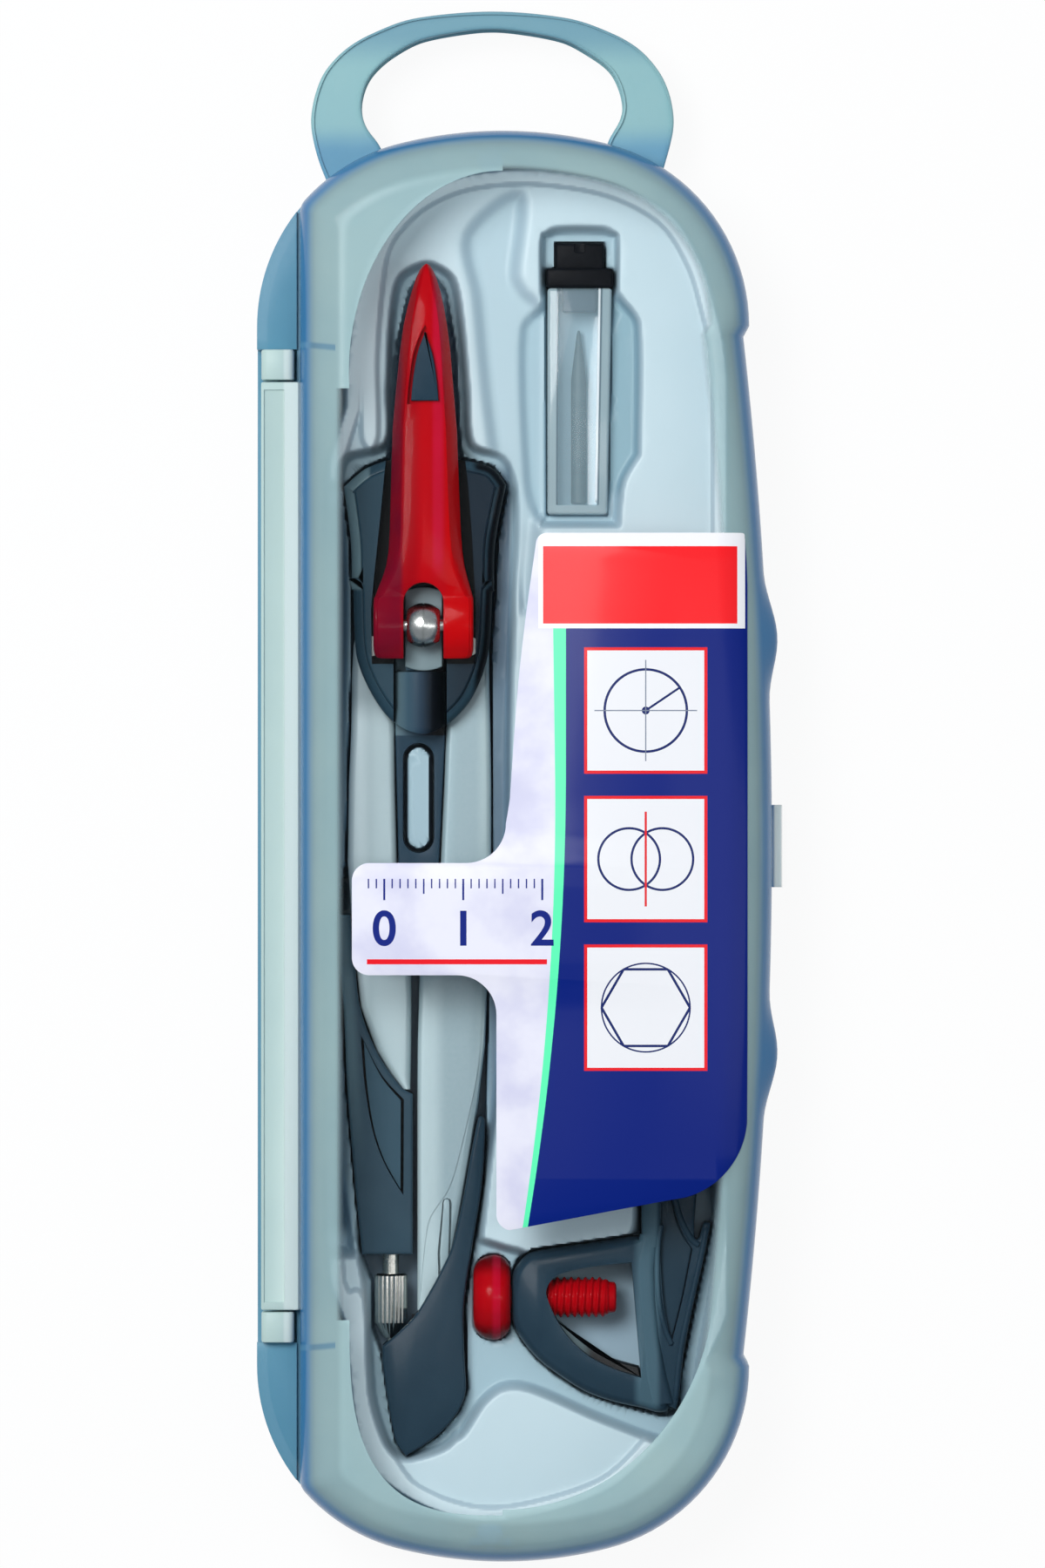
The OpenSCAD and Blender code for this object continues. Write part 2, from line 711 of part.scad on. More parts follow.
module needle_shaft() {
    color([0.7, 0.71, 0.72]) at_compass() difference() {
        needle_bore(shaft_d, cladding_end + 5.8, collet_y - collet_l + 2);
        needle_bore(needle_d + 2 * joint_gap, collet_y - 1, collet_y - collet_l - 1);
    }
}

module knurled_collet() {
    flutes = 20;
    color([0.8, 0.81, 0.82]) at_compass() difference() {
        union() {
            needle_bore(collet_d, collet_y, collet_y - collet_l);
            translate([needle_x, collet_y - collet_l, leg_z + leg_t / 2]) rotate([90, 0, 0])
                cylinder(d1 = collet_d - 0.9, d2 = needle_d + 1.2, h = 1.6);
        }
        needle_bore(shaft_d + 2 * run_fit, collet_y + 1, collet_y - collet_l + 2 - run_fit);
        needle_bore(needle_d + 2 * run_fit, collet_y, collet_y - collet_l - 3);
        for (i = [0:flutes - 1])
            translate([needle_x, collet_y + 1, leg_z + leg_t / 2]) rotate([90, 360 * i / flutes, 0])
                translate([collet_d / 2 + 0.05, 0, 0]) rotate([0, 0, 45])
                cube([0.3, 0.3, 2 * collet_l + 2], center = true);
    }
}

module needle() {
    tip_y = collet_y - collet_l - 4.2;
    color([0.75, 0.76, 0.77]) at_compass() {
        needle_bore(needle_d, collet_y - 1.1, tip_y);
        translate([needle_x, tip_y, leg_z + leg_t / 2]) rotate([90, 0, 0])
            cylinder(d1 = needle_d, d2 = 0.1, h = 1.4);
    }
}

module lead_leg_plan(grow) {
    polygon(concat([[8.6 + grow, -15], [8.6 + grow, -30.2], [7.8 + grow, -53.6],
        [6.9 + grow, -61.2], [4.4 + grow, -76], [2.4 + grow, -86 - grow], [-0.7 - grow, -87.6 - grow],
        [-0.7 - grow, -44.4], [2.1 - grow, -31], [2.85 - grow, -14]],
        hub(1, 180, 0, grow)));
}

module lead_leg() {
    color([0.66, 0.72, 0.74]) at_compass() difference() {
        slab(leg_z, leg_t) lead_leg_plan(0);
        pivots(pivot_d + 2 * joint_gap, leg_z - 1, leg_top + 1);
        // Slot in the face of the leg
        slab(leg_top - 0.4, 1) polygon([[1.7, -83.5], [1.7, -73.5], [4.2, -73], [3.4, -79.4]]);
    }
}

lead_x = -0.6;
cover_tip = -106;

module lead_foot_cover() {
    color([0.2, 0.28, 0.34]) at_compass() difference() {
        slab(rest_z, leg_top + 1.2 - rest_z) polygon([[7.1, -63.2], [7.8, -63.8], [7.4, -71.4],
            [6.2, -79.1], [5.1, -87.1], [5.2, -94], [5.4, -97.6], [4.4, -100.3], [1.7, -103.4],
            [-2.3, cover_tip], [-3.6, -104.1], [-4.7, -98.4], [-5.3, -94], [-5.3, -92],
            [-2.8, -89.8], [-1, -87.9], [0.8, -84.9], [2, -82.7], [3.6, -79.2], [4.9, -73.6]]);
        slab(leg_z - joint_gap, leg_t + 2 * joint_gap) lead_leg_plan(joint_gap);
        // Hollow round the point of the needle
        needle_bore(collet_d + 1, cladding_end, collet_y - collet_l - 6.2);
        translate([lead_x, -87, leg_z + leg_t / 2]) rotate([90, 0, 0])
            cylinder(d = lead_d + 2 * joint_gap, h = 14);
    }
}

module compass_lead() {
    color([0.15, 0.15, 0.16]) at_compass() translate([lead_x, -88, leg_z + leg_t / 2])
        rotate([90, 0, 0]) {
        cylinder(d = lead_d, h = 9);
        translate([0, 0, 9]) cylinder(d1 = lead_d, d2 = 0.4, h = 3.6);
    }
}

// ---- universal adaptor, about the tip of its nose ----

module at_nose() {
    translate([adaptor_x, adaptor_y, screw_z]) children();
}

module adaptor_body() {
    color([0.2, 0.28, 0.34]) at_nose() {
        difference() {
            slab(-adaptor_t / 2, adaptor_t) difference() {
                polygon(nose);
                // The opening that a pencil is clamped in
                polygon([[15.6, 4.6], [16.9, -10.2], [9.7, -7.1], [6.4, -3.8], [4.7, 0.3], [6.4, 2.8],
                    [9.7, 3.9]]);
            }
            rotate([0, 90, 0]) cylinder(d = thread_d + 2 * run_fit, h = 10);
            // Lens-shaped panel
            slab(adaptor_t / 2 - 0.7, 1) polygon([[19.9, 15.8], [20.5, 2], [20.9, -4.6], [23.2, 5.5],
                [20.9, 9.6]]);
        }
        translate([19.2, 19, 0]) rotate([-90, 0, 0]) cylinder(d = 3.4, h = 12.6);
    }
}

module clamp_screw() {
    turns = floor((screw_l - 5) / thread_p);
    color([0.8, 0.02, 0.08]) at_nose() rotate([0, 90, 0]) {
        rotate_extrude() polygon(concat(
            [[0, -knob_l - 0.1], [knob_d / 2 - 0.9, -knob_l - 0.1], [knob_d / 2 - 0.2, -knob_l + 0.8],
                [knob_d / 2, -knob_l / 2], [knob_d / 2 - 0.2, -0.9], [knob_d / 2 - 1, -0.1],
                [thread_d / 2 - thread_h, -0.1], [thread_d / 2 - thread_h, 4]],
            [for (i = [0:turns - 1]) each [[thread_d / 2, 4 + thread_p * (i + 0.5)],
                [thread_d / 2 - thread_h, 4 + thread_p * (i + 1)]]],
            [[thread_d / 2 - 0.7, screw_l - 1], [thread_d / 2 - 1, screw_l], [0, screw_l]]));
    }
}

// ---- lead box, about the lower end of the tube ----

module at_box() {
    translate([box_x, box_y, box_z]) children();
}

module bar_along(w, y0, l) {
    translate([-w / 2, y0, -w / 2]) cube([w, l, w]);
}

module lead_tube() {
    color([0.85, 0.93, 0.95, 0.4]) at_box() difference() {
        bar_along(tube_w, 0, tube_l);
        bar_along(tube_bore, 1.2, tube_l);
    }
}

module lead_cap() {
    color([0.1, 0.1, 0.11]) at_box() {
        bar_along(tube_w + 0.3, tube_l + joint_gap, flange_t);
        bar_along(cap_w, tube_l + flange_t, cap_l);
        bar_along(plug_w, tube_l - plug_l, plug_l + 1);
    }
}

module spare_lead() {
    lead_len = tube_l - plug_l - 3.4;
    color([0.2, 0.2, 0.21]) at_box() translate([0, 1.5, (lead_d - tube_bore) / 2 + 0.05])
        rotate([-90, 0, 0]) {
        cylinder(d = lead_d, h = lead_len - 6.5);
        translate([0, 0, lead_len - 6.5]) cylinder(d1 = lead_d, d2 = 0.3, h = 6.5);
    }
}

case_base();
case_lid();
hinge_blocks();
hinge_bar();
insert_tray();
lid_label();
compass_core();
head_front_shield();
head_back_shield();
lock_lever();
lever_inlay();
lever_pin();
tension_ball();
cam_washer();
leg_pivots();
needle_leg();
needle_leg_cladding();
needle_shaft();
knurled_collet();
needle();
lead_leg();
lead_foot_cover();
compass_lead();
adaptor_body();
clamp_screw();
lead_tube();
lead_cap();
spare_lead();
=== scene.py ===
import math

import bpy
import numpy as np
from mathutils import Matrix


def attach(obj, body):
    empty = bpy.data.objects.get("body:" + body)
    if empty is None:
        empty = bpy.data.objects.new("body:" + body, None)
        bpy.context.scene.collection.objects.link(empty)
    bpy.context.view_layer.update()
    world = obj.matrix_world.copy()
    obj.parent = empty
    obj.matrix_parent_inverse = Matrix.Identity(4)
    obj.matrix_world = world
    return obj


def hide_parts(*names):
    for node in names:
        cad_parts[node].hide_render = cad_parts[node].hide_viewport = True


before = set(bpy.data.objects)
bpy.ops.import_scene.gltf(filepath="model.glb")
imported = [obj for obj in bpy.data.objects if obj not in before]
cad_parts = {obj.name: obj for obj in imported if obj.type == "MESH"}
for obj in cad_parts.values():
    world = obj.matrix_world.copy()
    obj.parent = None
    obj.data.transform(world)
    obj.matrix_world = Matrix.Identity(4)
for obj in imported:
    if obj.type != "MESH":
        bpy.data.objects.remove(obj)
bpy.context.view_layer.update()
scene = bpy.context.scene

# ---- camera ----
# The case lies on its back and is looked at from straight above, through a long
# lens, so that its walls are seen edge-on. MM turns millimetres into metres.
MM = 0.001
lens = bpy.data.cameras.new("camera")
lens.lens = 250
camera = bpy.data.objects.new("camera", lens)
camera.location = (2.5 * MM, 7.9 * MM, 11 * MM + 0.2 * lens.lens / 36)
scene.collection.objects.link(camera)
scene.camera = camera

# ---- lamps ----
# A wide soft lamp at the upper left, a narrow one at the right that draws the
# bright stripes on glossy plastic, and a pale room all round.
for name, place, size, watts in (
        ("wide_lamp", (-0.27, 0.24, 0.72), (0.35, 0.35), 4.8),
        ("stripe_lamp", (0.34, -0.02, 0.62), (0.10, 0.9), 0.8)):
    lamp = bpy.data.lights.new(name, "AREA")
    lamp.shape = "RECTANGLE"
    lamp.size, lamp.size_y = size
    lamp.energy = watts
    holder = bpy.data.objects.new(name, lamp)
    holder.location = place
    way = holder.location.copy()
    way.negate()
    holder.rotation_euler = way.to_track_quat("-Z", "Y").to_euler()
    scene.collection.objects.link(holder)

room = bpy.data.worlds.new("room")
scene.world = room
room.use_nodes = True
room.node_tree.nodes["Background"].inputs["Color"].default_value = (0.86, 0.93, 1.0, 1)
room.node_tree.nodes["Background"].inputs["Strength"].default_value = 0.30
scene.view_settings.view_transform = "Standard"


# ---- floor ----
# A plain pale table top under the case. It shows as white, and keeps the soft
# shadow that the case throws on it.
def linear(r, g, b):
    """A screen colour, 0 to 255, as the light values that a shader works in."""
    return tuple(c / 3294.6 if c < 11 else ((c / 255 + 0.055) / 1.055) ** 2.4 for c in (r, g, b)) + (1.0,)


class Reading:
    """A number that changes over a surface, for use in plain arithmetic."""

    def __init__(self, finish, socket):
        self.finish, self.socket = finish, socket

    def math(self, operation, *values):
        return self.finish.node("Math", dict(enumerate(values)), operation=operation)

    def __add__(self, other):
        return self.math("ADD", self, other)

    __radd__ = __add__

    def __sub__(self, other):
        return self.math("SUBTRACT", self, other)

    def __rsub__(self, other):
        return self.math("SUBTRACT", other, self)

    def __mul__(self, other):
        return self.math("MULTIPLY", self, other)

    __rmul__ = __mul__

    def __truediv__(self, other):
        return self.math("DIVIDE", self, other)

    def __pow__(self, other):
        return self.math("POWER", self, other)

    def __abs__(self):
        return self.math("ABSOLUTE", self)

    def __lt__(self, other):
        return self.math("LESS_THAN", self, other)

    def __gt__(self, other):
        return self.math("GREATER_THAN", self, other)

    def __mod__(self, other):
        return self.math("FLOORED_MODULO", self, other)


class Finish:
    """A material, with its main shader and the place on the piece in millimetres."""

    def __init__(self, name, **fixed):
        self.material = bpy.data.materials.new(name)
        self.material.use_nodes = True
        self.tree = self.material.node_tree
        self.shader = self.tree.nodes["Principled BSDF"]
        for socket, value in fixed.items():
            self.shader.inputs[socket.replace("_", " ")].default_value = value
        self.place = self.node("TexCoord", out="Object")
        parts = self.node("SeparateXYZ", {0: self.place})
        self.x, self.y, self.z = (Reading(self, parts.socket.node.outputs[i]) * 1000 for i in range(3))

    def node(self, kind, sockets=None, out=0, stops=None, **settings):
        node = self.tree.nodes.new("ShaderNode" + kind)
        for key, value in settings.items():
            setattr(node, key, value)
        if stops:
            ramp = node.color_ramp.elements
            while len(ramp) < len(stops):
                ramp.new(1.0)
            for stop, (place, colour) in zip(ramp, stops):
                stop.position, stop.color = place, colour
        for key, value in (sockets or {}).items():
            if isinstance(value, Reading):
                self.tree.links.new(value.socket, node.inputs[key])
            else:
                node.inputs[key].default_value = value
        return Reading(self, node.outputs[out])

    def feed(self, socket, value):
        self.tree.links.new(value.socket, self.shader.inputs[socket])

    def blend(self, share, a, b):
        """Mixes readings or screen colours, 0 to 255."""
        a, b = (linear(*c) if isinstance(c, tuple) else c for c in (a, b))
        return self.node("Mix", {0: share, 6: a, 7: b}, out=2, data_type="RGBA")

    def over(self, tone, *layers):
        """Lays colours over a tone, each where its share says."""
        for share, colour in layers:
            tone = self.blend(share, tone, colour)
        return tone

    def mottle(self, size, detail, dark, light):
        """Two screen colours mixed by cloudy noise."""
        return self.blend(self.noise(size, detail), dark, light)

    def ramp(self, value, *stops):
        return self.node("ValToRGB", {0: value}, stops=[(at, linear(*c)) for at, c in stops])

    def between(self, value, low, high):
        """0 below low, 1 above high, and smooth between them."""
        return self.node("MapRange", {0: value, 1: low, 2: high}, interpolation_type="SMOOTHSTEP")

    def noise(self, size, detail=2.0):
        """Cloudy noise whose patches are about size millimetres across."""
        return self.node("TexNoise", {"Vector": self.place, "Scale": 1000 / size, "Detail": detail})

    def grain(self, size, depth, base, spread):
        """Fine moulded grain: it roughens the gloss and bumps the surface."""
        fine = self.noise(size)
        self.feed("Roughness", base + (fine - 0.5) * spread)
        self.feed("Normal", self.node("Bump", {"Strength": 1.0, "Distance": depth * MM, "Height": fine}))
        return fine


def deselect():
    if bpy.context.object and bpy.context.object.mode != "OBJECT":
        bpy.ops.object.mode_set(mode="OBJECT")
    bpy.ops.object.select_all(action="DESELECT")


deselect()
bpy.ops.mesh.primitive_grid_add(x_subdivisions=4, y_subdivisions=4, size=6)
table = bpy.context.object
table.name = "table_top"
for point in table.data.vertices:
    point.co.z = -0.02 * MM
top = Finish("table_paint", Roughness=0.9)
top.feed("Base Color", top.mottle(30, 4, (236, 238, 240), (242, 243, 245)))
glow = top.node("Emission", {"Color": (1, 1, 1, 1), "Strength": 1.0})
path = top.node("LightPath").socket.node
seen = (Reading(top, path.outputs["Is Camera Ray"]) + Reading(top, path.outputs["Is Glossy Ray"])
    + Reading(top, path.outputs["Is Transmission Ray"])) * 0.93
shown = top.node("MixShader", {0: seen, 1: Reading(top, top.shader.outputs[0]), 2: glow})
top.tree.links.new(shown.socket, top.tree.nodes["Material Output"].inputs["Surface"])
table.data.materials.append(top.material)

# ---- case base ----
# The lower half of the case: one injection moulding of milky blue polypropylene,
# with the loop handle, a ledge for the hinge, two raised ears beside it, and two
# pegs beside the ends of the tray.
HALF_W, HALF_L, CORNER_R, CROWN_R, MID_HALF = 31.35, 91.0, 23.9, 54.1, 64.8
WALL, BASE_TOP = 1.2, 11.0


def arc(cx, cy, r, start, stop, steps):
    turn = np.radians(np.linspace(start, stop, steps))
    return np.stack([cx + r * np.cos(turn), cy + r * np.sin(turn)], 1)


def rim_x(y):
    """How far the thumb side bows out at a distance along the case."""
    return HALF_W - 0.75 + 3.65 * (1 - (y / MID_HALF) ** 2)


def finger_bumps(y):
    off = (np.abs(y) - 26.7) / 8.3
    return np.where(np.abs(off) < 1, 0.7 * (1 + np.cos(np.pi * off)), 0)


def case_outline(by, left=None, fillet=2.2, bumps=1.0):
    """Plan of the case, or of what lies to the right of a straight line."""
    k = HALF_L - by - (CROWN_R - by)
    corner = k + math.sqrt((CROWN_R - CORNER_R) ** 2 - (HALF_W - CORNER_R) ** 2)
    turn = math.degrees(math.atan2(corner - k, HALF_W - CORNER_R))
    cx, r = HALF_W - CORNER_R, CORNER_R - by
    parts = [arc(cx, corner, r, 0, turn, 22)[:-1], arc(0, k, CROWN_R - by, turn, 180 - turn, 42)[:-1]]
    if left is None:
        parts.append(arc(-cx, corner, r, 180 - turn, 180, 34))
    else:
        f = max(fillet - 0.6 * by, 0.4)
        fx = left + f + cx
        fy = corner + math.sqrt((r - f) ** 2 - fx ** 2)
        end = math.degrees(math.atan2(fy - corner, fx))
        parts += [arc(-cx, corner, r, 180 - turn, end, 24)[:-1], arc(left + f, fy, f, end, 180, 10)]
    end = np.concatenate(parts)
    y = np.linspace(-MID_HALF, MID_HALF, 121)
    side = np.stack([rim_x(y) - by + bumps * finger_bumps(y), y], 1)
    down = np.linspace(0.98, -0.98, 60)[:, None] * end[-1] * (0, 1) + end[-1] * (1, 0)
    return np.concatenate([side, end, down, end[::-1] * (1, -1)])


def inset(points, by):
    """An outline moved inwards, point by point, whichever way round it runs."""
    before, after = points - np.roll(points, 1, 0), np.roll(points, -1, 0) - points
    area = (points[:, 0] * np.roll(points[:, 1], -1) - points[:, 1] * np.roll(points[:, 0], -1)).sum()
    before /= np.linalg.norm(before, axis=1)[:, None] + 1e-9
    after /= np.linalg.norm(after, axis=1)[:, None] + 1e-9
    both = before + after
    both /= np.linalg.norm(both, axis=1)[:, None] + 1e-9
    stretch = np.clip((both * before).sum(1), 0.6, 1)[:, None]
    return points + np.stack([-both[:, 1], both[:, 0]], 1) * math.copysign(by, by * area) / stretch


def skin(name, rings, marks=None):
    """Wraps a grid round rings of points, given in millimetres, and closes its ends."""
    rings = np.array(rings, float)
    rows, cols = rings.shape[:2]
    deselect()
    bpy.ops.mesh.primitive_grid_add(x_subdivisions=cols, y_subdivisions=rows - 1, size=1)
    piece = bpy.context.object
    piece.name = piece.data.name = name
    around = np.concatenate([rings, rings[:, :1]], 1)
    piece.data.vertices.foreach_set("co", (around * MM).ravel())
    if marks is not None:
        mark = piece.data.attributes.new("mark", "FLOAT", "POINT")
        mark.data.foreach_set("value", np.repeat(np.array(marks, float), cols + 1))
    bpy.ops.object.mode_set(mode="EDIT")
    bpy.ops.mesh.select_all(action="SELECT")
    bpy.ops.mesh.remove_doubles(threshold=2e-7)
    bpy.ops.mesh.select_all(action="SELECT")
    bpy.ops.mesh.fill_holes(sides=0)
    bpy.ops.mesh.select_all(action="SELECT")
    bpy.ops.mesh.normals_make_consistent(inside=False)
    bpy.ops.object.mode_set(mode="OBJECT")
    return piece


def moulded(name, outline, profile):
    """A piece with one outline all the way up. The profile gives its insets and heights."""
    rings = []
    for by, z in profile:
        flat = outline(by) if callable(outline) else inset(outline, by)
        rings.append(np.column_stack([flat, np.full(len(flat), z)]))
    return skin(name, rings)


def pick(piece):
    """Selects one piece alone and makes it the active one."""
    deselect()
    piece.select_set(True)
    bpy.context.view_layer.objects.active = piece


def block(name, low, high, edge=0.0, steps=2):
    """A squared block with rounded edges, between two corners."""
    deselect()
    bpy.ops.mesh.primitive_cube_add(size=1)
    piece = bpy.context.object
    piece.name = piece.data.name = name
    for point in piece.data.vertices:
        point.co = [(l if c < 0 else h) * MM for c, l, h in zip(point.co, low, high)]
    if edge:
        soften(piece, edge, steps)
    return piece


def soften(piece, edge, steps=2, angle=40):
    """Rounds the sharp edges of a piece."""
    pick(piece)
    bevel = piece.modifiers.new("edge", "BEVEL")
    bevel.width, bevel.segments = edge * MM, steps
    bevel.limit_method, bevel.angle_limit = "ANGLE", math.radians(angle)
    bpy.ops.object.modifier_apply(modifier=bevel.name)


def carve(piece, tool, how="DIFFERENCE"):
    """Cuts a tool out of a piece, or joins the two, and puts the tool away."""
    whole = piece.data.copy()
    for solver in ("EXACT", "FAST"):
        pick(piece)
        cut = piece.modifiers.new("carve", "BOOLEAN")
        cut.operation, cut.object, cut.solver = how, tool, solver
        bpy.ops.object.modifier_apply(modifier=cut.name)
        if len(piece.data.vertices) > len(whole.vertices) / 4:
            break
        piece.data = whole.copy()
    bpy.data.objects.remove(tool)
    return piece


def pierce(piece, name, outline, low, high, by=0):
    """Cuts straight down through a piece inside an outline, from one height to another."""
    carve(piece, moulded(name, outline, [(by, low), (by, high)]))


def joined(*parts):
    deselect()
    for part in parts:
        part.select_set(True)
    bpy.context.view_layer.objects.active = parts[0]
    bpy.ops.object.join()
    return parts[0]


def fit(piece, finish, body, slot, *nodes, angle=34):
    """Gives a finished piece its material and its body, and hides its CAD nodes. The slot is not used."""
    piece.data.materials.clear()
    piece.data.materials.append(finish.material)
    pick(piece)
    bpy.ops.object.shade_smooth_by_angle(angle=math.radians(angle))
    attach(piece, body)
    if nodes:
        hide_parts(*nodes)


def spline(points, per=8, closed=True):
    """Dense points along a smooth curve. A point given twice stays a corner."""
    pts = [np.array(p, float) for p in points]
    n = len(pts)
    out = []
    for i in range(n if closed else n - 1):
        a, b = pts[i], pts[(i + 1) % n]
        if np.allclose(a, b):
            continue
        before = pts[i - 1] if closed or i else a
        after = pts[(i + 2) % n] if closed or i + 2 < n else b
        ta = (b - before) / 2 if not np.allclose(before, a) else (b - a) / 2
        tb = (after - a) / 2 if not np.allclose(after, b) else (b - a) / 2
        span = np.linalg.norm(b - a)
        ta *= min(1, span / (np.linalg.norm(ta) + 1e-9))
        tb *= min(1, span / (np.linalg.norm(tb) + 1e-9))
        for t in np.arange(per) / per:
            out.append((2 * t**3 - 3 * t**2 + 1) * a + (t**3 - 2 * t**2 + t) * ta + (3 * t**2 - 2 * t**3)
                * b + (t**3 - t**2) * tb)
    if not closed:
        out.append(pts[-1])
    return np.array(out)


base = moulded("case_shell_base", case_outline, [(2.4, 0), (1.0, 0.12), (0.3, 0.5), (0.05, 1.1), (0, 1.9),
    (0, 11.9)])
carve(base, block("rim_cut", (-26.3, -110, BASE_TOP), (50, 110, 20)))
carve(base, block("ledge_cut", (-50, -63.3, 8.18), (-26.3, 63.3, 20)))
carve(base, moulded("room_low", lambda by: case_outline(WALL + by),
    [(1.6, 1.2), (0.5, 1.35), (0.06, 1.8), (0, 2.4), (0, 6.98)]))
carve(base, moulded("room_high", lambda by: case_outline(WALL + by, left=-25.1, fillet=1.2),
    [(0, 6.5), (0, 15)]))
soften(base, 0.25, 2, 55)

outer_loop = [(20.0, 84.9), (20.8, 87.5), (21.7, 91), (21.8, 93.3), (21.2, 96.3), (19.9, 99), (17.5, 101.7),
    (14.2, 103.7), (8.5, 105.7), (-1.3, 106.6), (-11.4, 105.7), (-16.9, 103.7), (-20.2, 101.7), (-22.7, 99),
    (-23.9, 96.3), (-24.5, 93.3), (-24.4, 91), (-23.6, 87.7), (-22.2, 84.2)]
inner_loop = [(12.9, 88.3), (13.6, 90.3), (14.9, 92.6), (15.3, 94.6), (14.8, 97), (13.6, 99.2), (11.3, 101),
    (7.5, 103), (0.8, 104.2), (-3.6, 104.2), (-10.3, 103), (-14.1, 101), (-16.4, 99), (-17.6, 97),
    (-18.1, 94.4), (-17.5, 91.9), (-16.0, 89.8), (-15.1, 88.2)]


def spaced(points, count):
    """The same open line with its points evenly spaced."""
    steps = np.concatenate([[0], np.cumsum(np.linalg.norm(np.diff(points, axis=0), axis=1))])
    at = np.linspace(0, steps[-1], count)
    return np.stack([np.interp(at, steps, points[:, i]) for i in (0, 1)], 1)


out_line = spaced(spline(outer_loop, 8, False), 120)
in_line = spaced(spline(inner_loop, 8, False), 120)
corner = arc(0, 0, 1, 90, 180, 6)
rings = []
for a, b in zip(out_line, in_line):
    wide = np.linalg.norm(b - a)
    r = min(0.4, wide * 0.3)
    quarter = [(r + r * c, 9.0 - r + r * s) for c, s in corner]
    half = quarter + [(wide - u, h) for u, h in quarter[::-1]]
    section = half + [(u, 11.0 - h) for u, h in half[::-1]]
    rings.append([(*(a + (b - a) * u / wide), h) for u, h in section])
base = joined(base, skin("handle_loop", rings))
for side in (-1, 1):
    peg_y = side * 87.6
    peg = moulded("peg", arc(-1.6, peg_y, 1.7, 0, 354, 40), [(0, 1.0), (0, 9.9), (0.15, 10.3), (0.5, 10.5)])
    carve(peg, block("peg_web", (-2.1, min(peg_y, side * 90.3), 1.0), (-1.1, max(peg_y, side * 90.3), 9.5)),
        "UNION")
    carve(peg, block("peg_fin", (-4.2, side * 88.9 - 0.5, 1.0), (1.0, side * 88.9 + 0.5, 9.0)), "UNION")
    carve(base, peg, "UNION")

def plastic(name, specular, coat=None, coat_rough=None, ior=1.5):
    """A finish for plain plastic, with a thin gloss over it where a coat is named."""
    fixed = {"IOR": ior, "Specular_IOR_Level": specular}
    if coat is not None:
        fixed.update(Coat_Weight=coat, Coat_Roughness=coat_rough)
    return Finish(name, **fixed)


case_blue = plastic("milky_blue_plastic", 0.12, 0.03, 0.2, ior=1.49)
x, y, z = case_blue.x, case_blue.y, case_blue.z
ears = case_blue.between(-1 * x, 25.6, 26.6) * case_blue.between(z, 6.5, 7.5)
# Painted light: the inner floor is painted paler than the walls, to make up for the shade it lies in deep
# inside the case.
inside = case_blue.between(2.2 - z, 0, 0.7) * case_blue.between(z, 0.7, 1.15)
loop = case_blue.between(y, 88.5, 92.5) * case_blue.between(z, 1.9, 2.0)
cloud = case_blue.noise(9, 3)
tone = case_blue.blend(cloud, (104, 160, 190), (118, 170, 196))
tone = case_blue.over(tone,
    (inside, case_blue.blend(cloud, (166, 204, 208), (178, 212, 212))),
    (ears, case_blue.blend(cloud, (88, 146, 174), (101, 157, 181))),
    (loop, case_blue.blend(cloud, (143, 190, 197), (153, 196, 199))),
    (loop * case_blue.between(y, 99, 104) * 0.8, (112, 160, 180)))
pegs = (abs(x + 1.6) < 2.8) * (abs(abs(y) - 88.0) < 2.4) * case_blue.between(z, 2.2, 3.0)
tone = case_blue.blend(pegs, tone, (48, 108, 160))
case_blue.feed("Base Color", tone)
floor = case_blue.between(1.5 - z, 0, 0.2)
case_blue.feed("Alpha", 0.86 + cloud * 0.06 - floor * 0.1)
case_blue.grain(0.7, 0.012, 0.34, 0.14)
fit(base, case_blue, "base", "case_plastic", "case_base")

# ---- hinge ----
# A bar of natural milky polypropylene with a long sunk panel, clipped into two
# blocks on the ledge. It is fixed to the left wall of the lid and turns with it.
AXIS_X, AXIS_Z = -28.7, 11.4


def along(name, section, start, stop, ends=0.25):
    """A bar with one section, from one place along Y to another, its ends rounded."""
    rings = []
    for y, grow in ((start, ends), (start + ends * 0.3, ends * 0.3), (start + ends, 0),
                    (stop - ends, 0), (stop - ends * 0.3, ends * 0.3), (stop, ends)):
        ring = inset(section, grow)
        rings.append(np.column_stack([ring[:, 0], np.full(len(ring), y), ring[:, 1]]))
    return skin(name, rings)


hinge_white = plastic("natural_plastic", 0.15, 0.05, 0.25, ior=1.49)
x = hinge_white.x
pale = hinge_white.mottle(12, 3, (180, 205, 202), (192, 215, 210))
# Painted light: the flat to the right of the sunk panel is painted lighter than the rest of the bar.
painted_light_band = hinge_white.between(x, -28.1, -27.7)
hinge_white.feed("Base Color", hinge_white.blend(painted_light_band, pale, (208, 224, 221)))
hinge_white.grain(0.5, 0.01, 0.4, 0.15)
under = arc(AXIS_X, AXIS_Z, 2.1, 180, 360, 16)
bar = along("hinge_strip", np.concatenate([under,
    [(AXIS_X + 2.1, 11.8), (-25.85, 11.8), (-25.85, 13.2), (-26.1, 13.5), (-30.5, 13.5), (-30.8, 13.2)]]),
    -59.1, 59.1)
carve(bar, block("bar_panel", (-30.45, -58.1, 13.2), (-27.85, 58.1, 14), 0.12))
fit(bar, hinge_white, "lid", "hinge_plastic", "hinge_bar")
for side, name in ((-1, "hinge_block_foot"), (1, "hinge_block_head")):
    holder = along(name, np.concatenate([[(-30.8, 8.24), (-26.6, 8.24), (-26.6, 11.4), (-26.65, 12.9),
        (-27.0, 13.35), (-27.4, 13.5), (-30.0, 13.5), (-30.4, 13.35), (-30.75, 12.9), (-30.8, 11.4)]]),
        *sorted((side * 59.35, side * 63.25)))
    fit(holder, hinge_white, "base", "hinge_plastic", "hinge_blocks")

